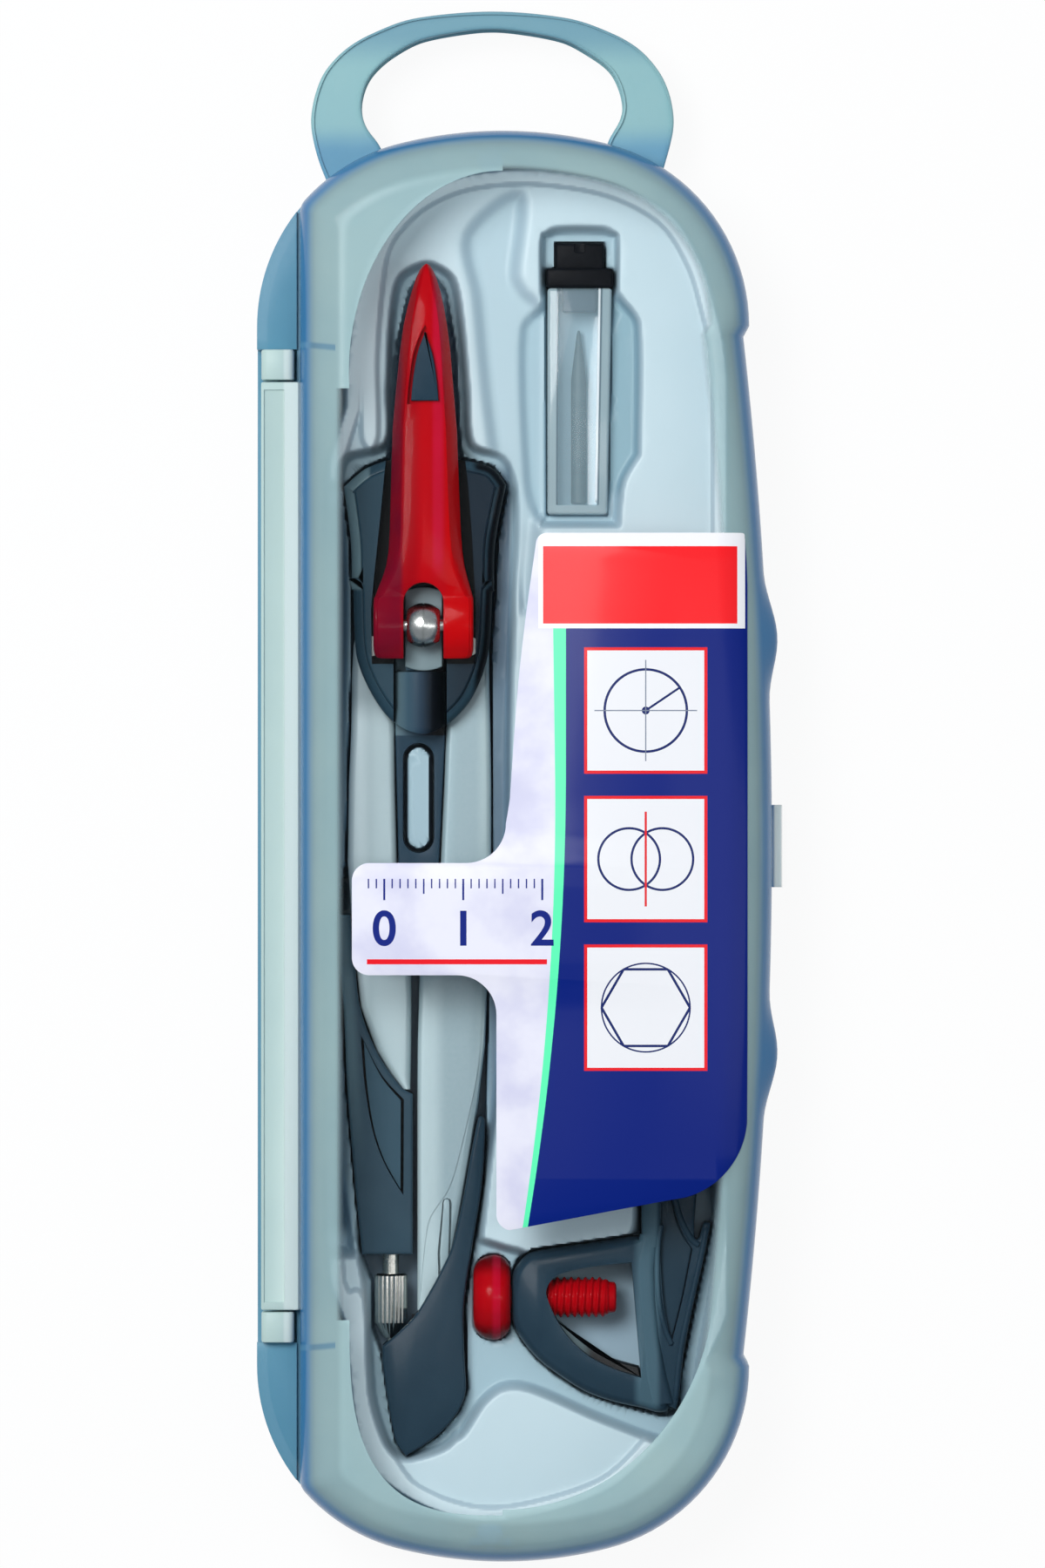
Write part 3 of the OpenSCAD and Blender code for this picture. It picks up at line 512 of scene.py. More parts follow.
# ---- lid ----
# The upper half: the same polypropylene, milky on its upright rim and its sloping
# border, polished clear over the flat window. Two finger bumps and a thumb tab
# on the side away from the hinge open it.
LID_LEFT = -25.8
outer = [(6.6, 22.0), (5.6, 21.97), (5.0, 21.86), (4.2, 21.6), (3.2, 21.15), (2.3, 20.5), (1.55, 19.75),
    (1.0, 18.8), (0.6, 17.8), (0.3, 16.7), (0.1, 15.7), (0, 14.9), (0, 11.35), (0.12, 11.12), (0.3, 11.05)]
inner = [(1.0, 11.05), (1.2, 11.2), (1.2, 15.0), (1.35, 16.3), (1.75, 17.9), (2.4, 19.1), (3.3, 19.95),
    (4.5, 20.5), (5.7, 20.75), (6.6, 20.8)]
profile = outer + inner
rings = []
for by, z in profile:
    fade = max(0.0, 1 - max(0, z - 14.5) / 4)
    flat = case_outline(by, left=LID_LEFT + by, fillet=2.4 + 0.6 * by, bumps=fade)
    rings.append(np.column_stack([flat, np.full(len(flat), z)]))
lid = skin("case_shell_lid", rings, [by for by, z in profile])
carve(lid, block("thumb_tab", (33.5, -5.25, 11.05), (36.25, 5.25, 13.05), 0.35, 3), "UNION")

clear_lid = plastic("clear_to_milky_plastic", 0.12, 0.02, 0.1, ior=1.49)
rim = clear_lid.node("Attribute", out="Fac", attribute_name="mark")
cloud = clear_lid.noise(14, 3)
band = clear_lid.blend(cloud, (168, 204, 212), (186, 214, 213))
blue = (58, 126, 178)
tone = clear_lid.blend(clear_lid.between(rim, 0.7, 2.1), blue, band)
x, y = clear_lid.x, clear_lid.y
beyond = abs(y) - 60
left_top = (abs(x) / 20.6) ** 2 + (beyond / 27.0) ** 2
left_foot = (abs(x) / 20.4) ** 3 + (abs(beyond) / 26.0) ** 3
right_foot = (x / 28.6) ** 2 + ((abs(y) - 55) / 31.0) ** 2
wedge = (clear_lid.between(left_top, 0.85, 0.94) * (y > 58) * (x < 0)
    + clear_lid.between(left_foot, 0.8, 0.92) * (y < -60) * (x < 0)
    + clear_lid.between(right_foot, 0.83, 0.92) * (y < -58) * (x > 0))
wedge = (wedge > 0.5) * (clear_lid.z > 19)
tone = clear_lid.blend(clear_lid.between(rim, 4.4, 5.8) * (1 - wedge), tone, (120, 134, 142))
# Painted shade: a blue line on the lid over the step at each end of the hinge ledge.
crease_shade = (1 - clear_lid.between(abs(abs(y) + x * 0.12 - 60.6), 0.15, 0.6)) * (x < -21.2)
tone = clear_lid.blend(crease_shade * 0.7, tone, (100, 154, 190))
clear_lid.feed("Base Color", tone)
milk = clear_lid.between(rim, 5.8, 4.6)
milk = milk + (1 - milk) * wedge * 1.35
clear_lid.feed("Alpha", milk * (0.42 + cloud * 0.1 + (1 - clear_lid.between(rim, 0.8, 2.0)) * 0.36) + 0.005)
clear_lid.grain(0.8, 0.008, 0.16, 0.08)
fit(lid, clear_lid, "lid", "case_plastic", "case_lid")

# ---- label ----
# A printed film stuck on the clear window: a lavender ground with a ruler on its
# arm, a mint edge, and a navy field with a red heading and three drawing exercises.
label_edge = np.concatenate([arc(1.2, -46.6, 2, 180, 260, 12), [(20.3, -44.9)],
    arc(20.3, -34.1, 10.7, 285, 355, 28), [(31, -25.4), (31, 38.9)], arc(30.2, 38.9, 0.8, 20, 90, 6),
    arc(5.6, 38.3, 1.4, 90, 165, 8), spline([(4.0, 37), (2.9, 29), (2.0, 21), (1.4, 13.4), (0.9, 6)], 6,
    False), arc(-4.6, 2.9, 5, 0, -90, 14), arc(-16.9, -4.3, 2.2, 90, 180, 10),
    arc(-16.9, -14.1, 2.2, 180, 270, 10), arc(-5.8, -21.3, 5, 90, 0, 14)])
LID_FLAT, RIM_FROM, RIM_TO, FILM_GAP = 22.0, 26.9, 20.4, 0.02
label = moulded("lid_label_film", label_edge, [(0, 22.01), (0, 22.07), (0.02, 22.08)])
# The film is cut into small fields, so that its outer side follows the rim down
pick(label)
bpy.ops.object.mode_set(mode="EDIT")
bpy.ops.mesh.select_mode(type="VERT")
cuts = [(at, 0, 0) for at in np.arange(27, 31, 0.5)] + [(0, at, 0) for at in np.arange(-42, 39, 3)]
for cut in cuts:
    bpy.ops.mesh.select_all(action="SELECT")
    bpy.ops.mesh.bisect(plane_co=[v * MM for v in cut], plane_no=(1, 0, 0) if cut[0] else (0, 1, 0))
bpy.ops.object.mode_set(mode="OBJECT")
bpy.context.view_layer.update()
for point in label.data.vertices:
    if point.co.x < RIM_FROM * MM:
        continue
    for pulled in np.arange(0, 1.5, 0.1):
        hit, spot, *_ = lid.ray_cast((point.co.x - pulled * MM, point.co.y, 50 * MM), (0, 0, -1))
        if hit and spot.z > RIM_TO * MM:
            break
    fall = LID_FLAT * MM - spot.z
    point.co.x -= pulled * MM
    point.co.z += min(fall, FILM_GAP * MM) - fall

ink = Finish("printed_film", Roughness=0.3, Specular_IOR_Level=0.12, Coat_Weight=0.08, Coat_Roughness=0.1)
x, y = ink.x, ink.y


def box_mask(cx, cy, half_x, half_y):
    return (abs(x - cx) < half_x) * (abs(y - cy) < half_y)


def ring_mask(cx, cy, radius, width):
    away = ((x - cx) ** 2 + (y - cy) ** 2) ** 0.5
    return abs(away - radius) < width


def line_mask(ax, ay, bx, by, width):
    long = math.hypot(bx - ax, by - ay)
    ux, uy = (bx - ax) / long, (by - ay) / long
    off = abs((x - ax) * uy - (y - ay) * ux)
    at = (x - ax) * ux + (y - ay) * uy
    return (off < width) * (at > 0) * (at < long)


haze = ink.between(ink.noise(11, 4), 0.35, 0.62)
tone = ink.blend(haze, (212, 212, 236), (234, 234, 247))
edge_x = 7.7 - ((10 - y) * ((10 - y) > 0)) ** 2 * 0.00143
strip = 0.35 + (y + 47) * 0.013
tone = ink.blend(x > edge_x - strip, tone, (96, 250, 184))
navy = x > edge_x + 0.3
tone = ink.over(tone,
    (navy, (0, 30, 122)),
    (box_mask(17.6, 34.6, 13.1, 7.0), (246, 246, 250)),
    (box_mask(17.4, 33.1, 12.3, 4.9), (250, 30, 38)))
FIELD_X, HIGH_Y, MIDDLE_Y, LOW_Y, HEXAGON_R = 18.1, 17.2, -1.6, -20.4, 5.6
for cy in (HIGH_Y, MIDDLE_Y, LOW_Y):
    tone = ink.blend(box_mask(FIELD_X, cy, 7.8, 8.0), tone, (236, 28, 40))
    tone = ink.blend(box_mask(FIELD_X, cy, 7.4, 7.6), tone, (238, 239, 243))
tone = ink.over(tone,
    (ring_mask(FIELD_X, HIGH_Y, 5.2, 0.16) + line_mask(FIELD_X, HIGH_Y, 22.4, 20.1, 0.14)
     + ring_mask(FIELD_X, HIGH_Y, 0.25, 0.25), (24, 40, 104)),
    (line_mask(11.6, HIGH_Y, 24.6, HIGH_Y, 0.07) + line_mask(FIELD_X, 10.8, FIELD_X, 23.6, 0.07),
    (120, 130, 150)),
    (ring_mask(16.0, MIDDLE_Y, 3.9, 0.15) + ring_mask(20.2, MIDDLE_Y, 3.9, 0.15), (24, 40, 104)),
    (line_mask(FIELD_X, -7.6, FIELD_X, 4.4, 0.14), (226, 30, 40)))
sides = ring_mask(FIELD_X, LOW_Y, HEXAGON_R, 0.1)
turns = [math.radians(60 * corner) for corner in range(7)]
corners = [(FIELD_X + HEXAGON_R * math.cos(a), LOW_Y + HEXAGON_R * math.sin(a)) for a in turns]
for start, stop in zip(corners, corners[1:]):
    sides = sides + line_mask(*start, *stop, 0.16)
tone = ink.blend(sides > 0.5, tone, (24, 40, 104))
on_arm = (x > -17.2) * (x < 5.6)
near_tick = lambda step, wide: abs((x + 15 + step / 2) % step - step / 2) < wide
ticks = (near_tick(1, 0.09) * (y < -4.1) * (y > -5.3) + near_tick(5, 0.1) * (y < -4.1) * (y > -6.0)
    + near_tick(10, 0.13) * (y < -4.1) * (y > -6.8)) * on_arm
tone = ink.over(tone,
    (ticks > 0.5, (10, 32, 128)),
    ((abs(y + 14.6) < 0.32) * on_arm, (238, 20, 36)))
ink.feed("Base Color", tone)
ink.feed("Normal", ink.node("Bump", {"Strength": 1.0, "Distance": 0.003 * MM, "Height": ink.noise(2)}))
fit(label, ink, "lid", "printed_film", "lid_label", angle=60)

figure_ink = Finish("navy_ink", Roughness=0.35, Specular_IOR_Level=0.12)
figure_ink.feed("Base Color", figure_ink.mottle(1.5, 2, (8, 30, 122), (14, 38, 134)))
TALL, INK, BOLD, FIGURE_Z = 6.2, 0.004, 0.1, 22.088
for value in range(3):
    deselect()
    bpy.ops.object.text_add()
    figure = bpy.context.object
    figure.name = f"ruler_figure_{value}"
    figure.data.body = str(value)
    figure.data.align_x, figure.data.align_y = "CENTER", "CENTER"
    figure.data.size, figure.data.extrude, figure.data.offset = TALL * MM, INK * MM, BOLD * MM
    bpy.ops.object.convert(target="MESH")
    figure = bpy.context.object
    for point in figure.data.vertices:
        point.co.x += (-15 + 10 * value) * MM
        point.co.y += -10.6 * MM
        point.co.z += FIGURE_Z * MM
    fit(figure, figure_ink, "lid", "printed_film")

# ---- insert tray ----
# One sheet of pale plastic drawn by vacuum over a mould, so every wall leans and
# every edge is round. Its pockets hold the compass, the adaptor and the lead box.
DECK, FLOOR, SHEET = 11.48, 1.82, 0.5
NOSE, SCREW_Z = (1.1, -57.7), 7.7


def shift(points, by=(-10.1, 28.1)):
    """Moves an outline that is given about the axle of the compass to its place."""
    return np.array(points, float) + by


def reach(points, px, py):
    """Distance of each place from an outline, less than nothing inside it."""
    points = np.array(points, float)
    best = np.full(px.shape, 1e9)
    odd = np.zeros(px.shape, bool)
    for (ax, ay), (bx, by) in zip(points, np.roll(points, -1, 0)):
        dx, dy = bx - ax, by - ay
        t = np.clip(((px - ax) * dx + (py - ay) * dy) / (dx * dx + dy * dy + 1e-12), 0, 1)
        best = np.minimum(best, (px - ax - t * dx) ** 2 + (py - ay - t * dy) ** 2)
        odd ^= ((ay > py) != (by > py)) & (px < dx * (py - ay) / (dy + 1e-12) + ax)
    return np.sqrt(best) * np.where(odd, -1, 1)


def drawn(height, far, level, wide, inwards=0.0):
    """Draws the sheet to a level inside an outline, with a round-edged leaning wall."""
    t = np.clip(0.5 - (far + inwards) / wide, 0, 1)
    t = t * t * t * (t * (6 * t - 15) + 10)
    return height + (level - height) * t


compass_room = [(46, 0.1, 0.7), (44.2, -2.6, 3.2), (39, -3.6, 4.2), (30, -4.0, 5.0), (23.2, -4.3, 5.6),
    (21.4, -9.4, 9.6), (17, -10.4, 11.2), (4, -9.6, 11), (-12, -10.2, 10.4), (-30, -11.2, 10.2),
    (-50, -11.4, 9.6), (-62, -11.0, 8.6), (-72, -10, 7.4), (-84, -7, 6.2), (-98, -6.2, 5.8),
    (-104, -4.4, 3.2), (-106, -2.6, -1.0)]
CX, CY = -10.1, 28.1
compass_well = spline([(CX + left - 0.5, CY + at) for at, left, right in compass_room]
    + [(CX + right + 0.5, CY + at) for at, left, right in compass_room[::-1]], 5)
cell = 0.25
px, py = np.meshgrid(np.arange(-25, 31, cell), np.arange(-89, 89.01, cell))
rim_far = reach(np.concatenate([[(29.0, -60), (29.0, 60)],
    spline([(28.6, 64), (27.6, 68.2), (25.6, 74.8), (21.5, 81), (14, 85), (4.2, 86.6), (-3, 86.2),
    (-8, 84.8), (-12.6, 82.0), (-16.4, 77.4), (-18.9, 71), (-20.2, 62)], 6, False),
    [(-20.4, 56), (-22.6, 49), (-22.9, 40), (-22.9, -50), (-22.4, -56), (-20.4, -61)],
    spline([(-20.0, -66), (-19.2, -73), (-17.6, -78.4), (-14.4, -82), (-9, -85), (-2, -86.6), (6, -85.4),
    (14, -82.4), (19.4, -77.4), (22.7, -73.2), (25.4, -68), (28.2, -62)], 6, False)]), px, py)
height = np.full(px.shape, DECK)
height = drawn(height, rim_far + 2.2, DECK - 0.9, 0.9)
for shape, *cut in (
        # hollow beside the lead box
        (spline([(-4.5, 78), (2.2, 83), (1.6, 73), (2.6, 70.8), (4.2, 69), (4.6, 44), (2.6, 30), (-1.5, 52),
         (-3.4, 70)], 6), DECK - 2.3, 3.2),
        # ridge at the crown
        (spline([(-18.0, 79), (-15.6, 81.6), (-13.4, 80.6), (-15.0, 74), (-16.0, 63), (-15.9, 52.5),
         (-16.8, 50.4), (-18.0, 52), (-18.3, 63)], 6), DECK, 1.2),
        # low strip at the finger side
        ([(-23, 46), (-19.2, 46), (-19.2, -52), (-23, -52)], 6.4, 2.2),
        # ridge at the foot
        (spline([(-20.2, -58), (-18.6, -56.6), (-17.2, -59), (-16.8, -66), (-15.2, -75), (-11.6, -81),
         (-8, -83.4), (-13, -83.2), (-17.6, -79), (-19.6, -70)], 6), DECK, 1.0),
        # finger room beside the lead box
        (spline([(2.6, 66), (6, 68.5), (6, 43), (4.2, 42), (3.0, 47)], 6), 8.2, 2.2),
        # well round the lead box
        (spline([(5.0, 41.0), (5.0, 41.0), (14.6, 41.0), (14.6, 41.0), (15.2, 46.4), (17.2, 50), (17.2, 50),
         (17.2, 66.5), (15.2, 69.6), (14.4, 70.8), (14.4, 77.4), (13.0, 78.6), (6.7, 78.6), (5.2, 77.2),
         (5.2, 70)], 6), 8.4, 1.6),
        # well round its cap
        ([(5.1, 70.3), (14.5, 70.3), (14.5, 78.0), (5.1, 78.0)], 8.2, 0.9),
        # slot of the lead box
        ([(5.3, 42.0), (13.65, 42.0), (14.3, 71), (14.35, 73.95), (13.25, 74), (13.25, 77.3), (6.4, 77.3),
         (6.4, 74), (5.25, 73.95)], FLOOR, 0.3, 0.3),
        # well round the adaptor
        (spline([(-6, -51.2), (1.4, -51.6), (3.8, -52.3), (13.6, -50.8), (16.6, -49.6), (17.2, -46),
         (17.2, -30), (26, -30), (27.2, -42), (28.0, -48), (27.0, -56), (25.2, -66), (24.1, -74.6),
         (21.4, -76.2), (12.5, -73.1), (6, -70.2), (2.5, -69.0), (-0.3, -69.2), (-2.6, -71), (-6, -75)], 6),
         8.0, 1.7),
        # slot of the adaptor
        ([(0.6, -57.7), (0.9, -61), (2.2, -63.6), (4.2, -65.9), (6.6, -67.9), (10.2, -70.2), (13.9, -71.5),
         (19.5, -73.0), (21.3, -73.2), (22.9, -72.2), (23.0, -68), (24.6, -60), (27.2, -47.6), (27.0, -40),
         (24.9, -25.6), (17.0, -25.6), (17.2, -49.2), (11.2, -50.1), (3.7, -51.2), (1.6, -52.7),
         (0.8, -54.6)], 3.74, 0.3, 0.3)):
    height = drawn(height, reach(shape, px, py), *cut)
knob_r = np.interp(px, [-4.0, -3.95, -3.65, -3.35, -2.9, -2.3, -1.6, -0.9, -0.2, 0.35, 0.75, 0.96, 1.0],
    [0, 3.5, 4.05, 4.6, 5.05, 5.4, 5.56, 5.56, 5.4, 5.05, 4.55, 3.9, 0])
knob_dip = SCREW_Z - np.sqrt(np.clip(knob_r ** 2 - (py - NOSE[1]) ** 2, 0, None))
height = np.where(np.abs(py - NOSE[1]) < knob_r, np.minimum(height, knob_dip), height)
for shape, *cut in (
        # well round the compass
        (compass_well, 7.8, 1.5),
        # slot of the compass
        (shift([(0.4, 46.6), (-2.2, 43), (-3.8, 36), (-4.6, 24), (-5.0, 21.8), (-7.8, 20.6), (-10.75, 18),
         (-9.8, 10.6), (-9.6, 4.5), (-9.5, -3.7), (-9.9, -13), (-10.3, -30), (-11.4, -36.3), (-11.2, -43),
         (-10.2, -60), (-9.2, -71.4), (-8.3, -80.9), (-7.0, -84), (-7.0, -90), (-5.8, -93), (-4.6, -101),
         (-3.9, -104.6), (-2.3, -106.6), (2, -103.8), (4.9, -100.4), (5.9, -97.6), (5.6, -87.1),
         (6.7, -79.1), (7.9, -71.4), (8.3, -63.6), (8.4, -53.5), (9.1, -30), (9.0, -13), (8.9, -3.7),
         (9.5, 4.6), (9.7, 10.6), (11.1, 18), (9.0, 20.8), (5.2, 21.8), (4.9, 24), (4.3, 36), (3.0, 43)]),
         FLOOR, 0.3, 0.35),
        # boss between the legs
        (shift(np.concatenate([arc(-0.68, -16.95, 1.75, 0, 180, 14), arc(-0.68, -27, 1.75, 180, 360, 14)])),
         8.2, 0.4, 0.2)):
    height = drawn(height, reach(shape, px, py), *cut)
skirt = np.clip((rim_far + 0.55) / 0.9, 0, 1)
height = height + (1.25 - height) * skirt ** 1.6

deselect()
bpy.ops.mesh.primitive_grid_add(x_subdivisions=px.shape[1] - 1, y_subdivisions=px.shape[0] - 1, size=1)
tray = bpy.context.object
tray.name = tray.data.name = "tray_sheet"
tray.data.vertices.foreach_set("co", (np.stack([px, py, height], -1) * MM).ravel())
tray.data.update()
outside = (rim_far > 0.45).ravel()
tray.data.vertices.foreach_set("select", outside)
tray.data.edges.foreach_set("select", np.zeros(len(tray.data.edges), bool))
tray.data.polygons.foreach_set("select", np.zeros(len(tray.data.polygons), bool))
bpy.ops.object.mode_set(mode="EDIT")
bpy.ops.mesh.select_mode(type="VERT")
bpy.ops.mesh.delete(type="VERT")
bpy.ops.object.mode_set(mode="OBJECT")
for kind, settings in (("DECIMATE", {"ratio": 0.26}),
                       ("SOLIDIFY", {"thickness": SHEET * MM, "offset": -1})):
    step = tray.modifiers.new(kind.lower(), kind)
    for key, value in settings.items():
        setattr(step, key, value)
    bpy.ops.object.modifier_apply(modifier=step.name)

sheet = plastic("drawn_sheet", 0.15, 0.06, 0.2)
# Painted shade: the sheet is painted darker the lower it lies, for the shade in its deep pockets.
depth = sheet.z / 12
cloud = sheet.noise(10, 3)
tone = sheet.ramp(depth, (0.14, (138, 162, 182)), (0.4, (164, 192, 208)), (0.66, (166, 195, 207)),
    (0.86, (202, 224, 232)), (0.955, (222, 240, 246)))
x, y = sheet.x, sheet.y
shaded = sheet.between(x, -3.0, -0.9) * sheet.between(1.4 - x, 0, 0.8) * sheet.between(10.6 - sheet.z, 0,
    1.5)
shaded = shaded * sheet.between(y, -44, -38) * sheet.between(50 - y, 0, 3)
tone = sheet.over(tone,
    (shaded * 0.85, (60, 82, 110)),
    (cloud * 0.25, (176, 208, 216)))
# Painted light: the floor under the clear lead box is painted paler, to make up for the shade it lies in.
lit_under_box = sheet.between(4.7 - abs(x - 9.7), 0, 0.3) * sheet.between(y, 41.5, 42.2)
lit_under_box = lit_under_box * (y < 77.5) * (sheet.z < 7)
tone = sheet.blend(lit_under_box, tone, (200, 222, 228))
# Painted shade on the right side of the well round the lead box.
shade_beside_box = sheet.between(x, 13.2, 13.8) * sheet.between(18.4 - x, 0, 1) * sheet.between(y, 44, 46)
shade_beside_box = shade_beside_box * sheet.between(71 - y, 0, 2) * sheet.between(10.2 - sheet.z, 0, 1.2)
tone = sheet.blend(shade_beside_box, tone, (146, 180, 192))
# Painted shade in the low strip at the finger side.
finger = sheet.between(-19 - x, 0, 1.2) * sheet.between(48 - abs(y + 3), 0, 3)
finger = finger * sheet.between(9 - sheet.z, 0, 1.5)
tone = sheet.blend(finger, tone, (76, 104, 120))
# Painted shade: the sheet's leaning walls are painted darker than its flat parts.
lean = sheet.node("SeparateXYZ", {0: sheet.node("NewGeometry", out="True Normal")}, out=2)
tone = sheet.blend(sheet.between(lean, 0.985, 0.72) * 0.38, tone, (118, 148, 170))
sheet.feed("Base Color", tone)
sheet.grain(1.6, 0.02, 0.33, 0.12)
fit(tray, sheet, "base", "tray_sheet", "insert_tray", angle=80)

# ---- compass head ----
# Two dark nylon shields hold the legs between them. The front one has a bevelled
# border and a deep channel that the red lever lies in.
REST, LEG_Z, LEG_TOP, FRONT_Z, FRONT_TOP, AXLE_Z = 2.1, 3.85, 9.05, 9.1, 12.7, 14.55


def smooth(points, per=6):
    return shift(spline(points, per))


def plate(name, outline, low, high, edge=0.4, foot=0.15):
    """A moulded plate whose upper edge is round and whose lower edge is eased."""
    turn = arc(0, 0, edge, 90, 0, 5)[::-1]
    return moulded(name, outline, [(foot, low), (0, low + foot)]
        + [(edge - c, high - edge + s) for c, s in turn])


def turned(name, place, axis, profile, around=48, wave=None):
    """Turned on a lathe about an axis along X (0) or Y (1). The profile gives places
    along the axis and radii; wave adds flutes or a thread to the radius."""
    angles = np.linspace(0, 2 * math.pi, around, endpoint=False)
    rings = []
    for at, radius in profile:
        r = radius + (wave(angles, at, radius) if wave else 0)
        one, two = r * np.cos(angles), r * np.sin(angles)
        ring = np.zeros((around, 3))
        ring[:, axis], ring[:, 1 - axis], ring[:, 2] = at, one, two
        rings.append(ring + place)
    return skin(name, rings)


def lofted(name, stations, low, high, edge, origin=(CX, CY), crown=0.0):
    """A bar along Y whose left and right edges are given at stations, with round
    upper edges and a face that may be crowned."""
    stations = np.array(stations, float)
    turn = arc(0, 0, 1, 90, 180, 5)
    rings = []
    for y, left, right in stations:
        wide = right - left
        r = min(edge, wide * 0.45)
        upper = [(r + r * c, high - r + r * s) for c, s in turn]
        face = [(r + (wide - 2 * r) * t, high) for t in (0.25, 0.5, 0.75)]
        section = ([(0.12, low), (0, low + 0.2)] + upper[::-1] + face + [(wide - u, h) for u, h in upper]
            + [(wide, low + 0.2), (wide - 0.12, low)])
        rings.append([(left + u + origin[0], y + origin[1],
            h - crown * (2 * u / wide - 1) ** 2 * (h > low + 0.5)) for u, h in section])
    return skin(name, rings)


nylon = plastic("dark_nylon", 0.08, 0.03, 0.12)
cloud = nylon.noise(4, 3)
height_share = nylon.between(nylon.z, 8.5, 12.6)
tone = nylon.blend(cloud, (34, 55, 70), (41, 64, 79))
tone = nylon.blend(height_share, nylon.blend(cloud, (38, 58, 72), (45, 67, 81)), tone)
lit_bar = nylon.between(nylon.x, 16.4, 17.6) * nylon.between(20.4 - nylon.x, 0, 1) * (nylon.y < -40)
tone = nylon.blend(lit_bar * nylon.between(nylon.z, 10.4, 11.0), tone, (74, 103, 117))
nylon.feed("Base Color", tone)
nylon.grain(0.35, 0.008, 0.3, 0.14)

shield_line = [(-4.7, 21.1), (-7.6, 19.9), (-10.2, 17.7), (-10.2, 17.7), (-9.3, 10.6), (-9.2, 4.9),
    (-9.2, 4.5), (-9.0, 4.5), (-8.6, -3.7), (-6.7, -8.6), (-3.8, -12.4), (-0.2, -13.9), (2.9, -12.7),
    (6.1, -9.3), (8.2, -3.7), (8.75, 4.3), (8.95, 4.4), (9.1, 10.6), (10.5, 18), (10.5, 18), (8.6, 20.2),
    (4.6, 21.2), (4.6, 21.2), (-4.7, 21.1)]
shield_edge = smooth(shield_line, 6)
back = plate("shield_back", shield_edge + (0.3, 0), REST, LEG_Z - 0.05, 0.3)
fit(back, nylon, "compass", "dark_plastic", "head_back_shield", angle=50)

front = moulded("shield_front", shield_edge, [(0.1, FRONT_Z), (0, FRONT_Z + 0.15), (0, 11.2), (0.15, 11.6),
    (0.5, 11.95), (1.0, 12.2), (1.18, 12.22), (1.24, 12.35), (1.34, 12.6), (1.5, FRONT_TOP)])
bed_line = shift([(-4.9, 24), (-4.84, 20.9), (-5.6, 13.1), (-6.3, 6.5), (-6.7, 2), (-6.6, -4.9),
    (6.6, -4.9), (6.65, 2), (6.45, 6), (6.2, 10.9), (5.7, 17.6), (5.3, 21.1), (5.3, 24)])
pierce(front, "lever_bed", bed_line, 9.85, 20)
for hollow, left, right, start, stop in (("column_room", -3.85, 2.95, -16, -4),
        ("washer_room", -2.5, 2.5, -6.2, 5.2), ("grip_room", -3.45, 3.45, 11.9, 26)):
    carve(front, block(hollow, (CX + left, CY + start, 9.0), (CX + right, CY + stop, 20)))
bed = plastic("shield_nylon", 0.08, 0.03, 0.12)
face = bed.mottle(4, 3, (34, 52, 66), (40, 60, 74))
# Painted light and shade on the front shield: a painted highlight on the left bevel, the top painted
# lighter at the left and darker to the right, painted shade on the right bevel, and the lever channel
# painted near black for the shade in it.
strip = bed.between(12.55 - bed.z, 0, 0.2) * bed.between(CX - 6.6 - bed.x, 0, 0.6)
strip = strip * bed.between(bed.y, CY + 4.3, CY + 4.8)
sideways = bed.between(bed.x, CX - 5, CX + 7) * bed.between(bed.z, 12, 12.5)
face = bed.blend(sideways, bed.blend(0.5, face, (50, 80, 94)), (25, 40, 52))
face = bed.blend(strip, face, (98, 124, 132))
right_bevel_shade = bed.between(12.3 - bed.z, 0, 0.3) * bed.between(bed.x, CX + 6, CX + 7)
face = bed.over(face,
    (right_bevel_shade, (8, 12, 18)),
    (bed.between(bed.z, 10.4, 9.9), (6, 9, 13)))
bed.feed("Base Color", face)
bed.grain(0.35, 0.008, 0.3, 0.14)
fit(front, bed, "compass", "dark_plastic", "head_front_shield", angle=30)

# ---- compass core ----
# The dark spine between the legs: a web with an oval window, a round column over
# it that rises to the front of the head, a pad for the washer, and the hand grip.
web = lofted("core_spine", [(21, -3.65, 2.75), (-13.5, -3.65, 2.75), (-31, -3.2, 1.9), (-43, -1.5, -0.9)],
    LEG_Z, LEG_TOP - 0.15, 0.2)
window = shift(np.concatenate([arc(-0.68, -16.95, 2.0, 0, 180, 14), arc(-0.68, -27, 2.0, 180, 360, 14)]))
pierce(web, "web_window", window, 0, 14)
soften(web, 0.3, 3, 60)
column = turned("column", (CX - 0.45, CY, FRONT_TOP - 3.15), 1,
    [(-14.2, 2.6), (-14.0, 3.0), (-13.6, 3.25), (-13.0, 3.35), (-6.0, 3.35), (-5.88, 3.2)], 64)
end_cut = moulded("column_end", shield_edge, [(0.08, -5), (0.08, 20)])
carve(column, end_cut, "INTERSECT")
pad = block("washer_pad", (CX - 2.3, CY - 5.75, LEG_TOP - 0.3), (CX + 2.3, CY + 4.85, 11.25), 0.15)
grip = turned("grip", (CX, CY, 8.35), 1, [(12.0, 3.2), (12.2, 3.38), (20, 2.95), (30, 2.55), (39, 2.15),
    (40.4, 1.9), (41.4, 1.4), (42.0, 0.6)], 40)
spine = joined(web, column, pad, grip)
spine_dark = plastic("spine_nylon", 0.1, 0.03, 0.25)
x, y = spine_dark.x - CX, spine_dark.y - CY
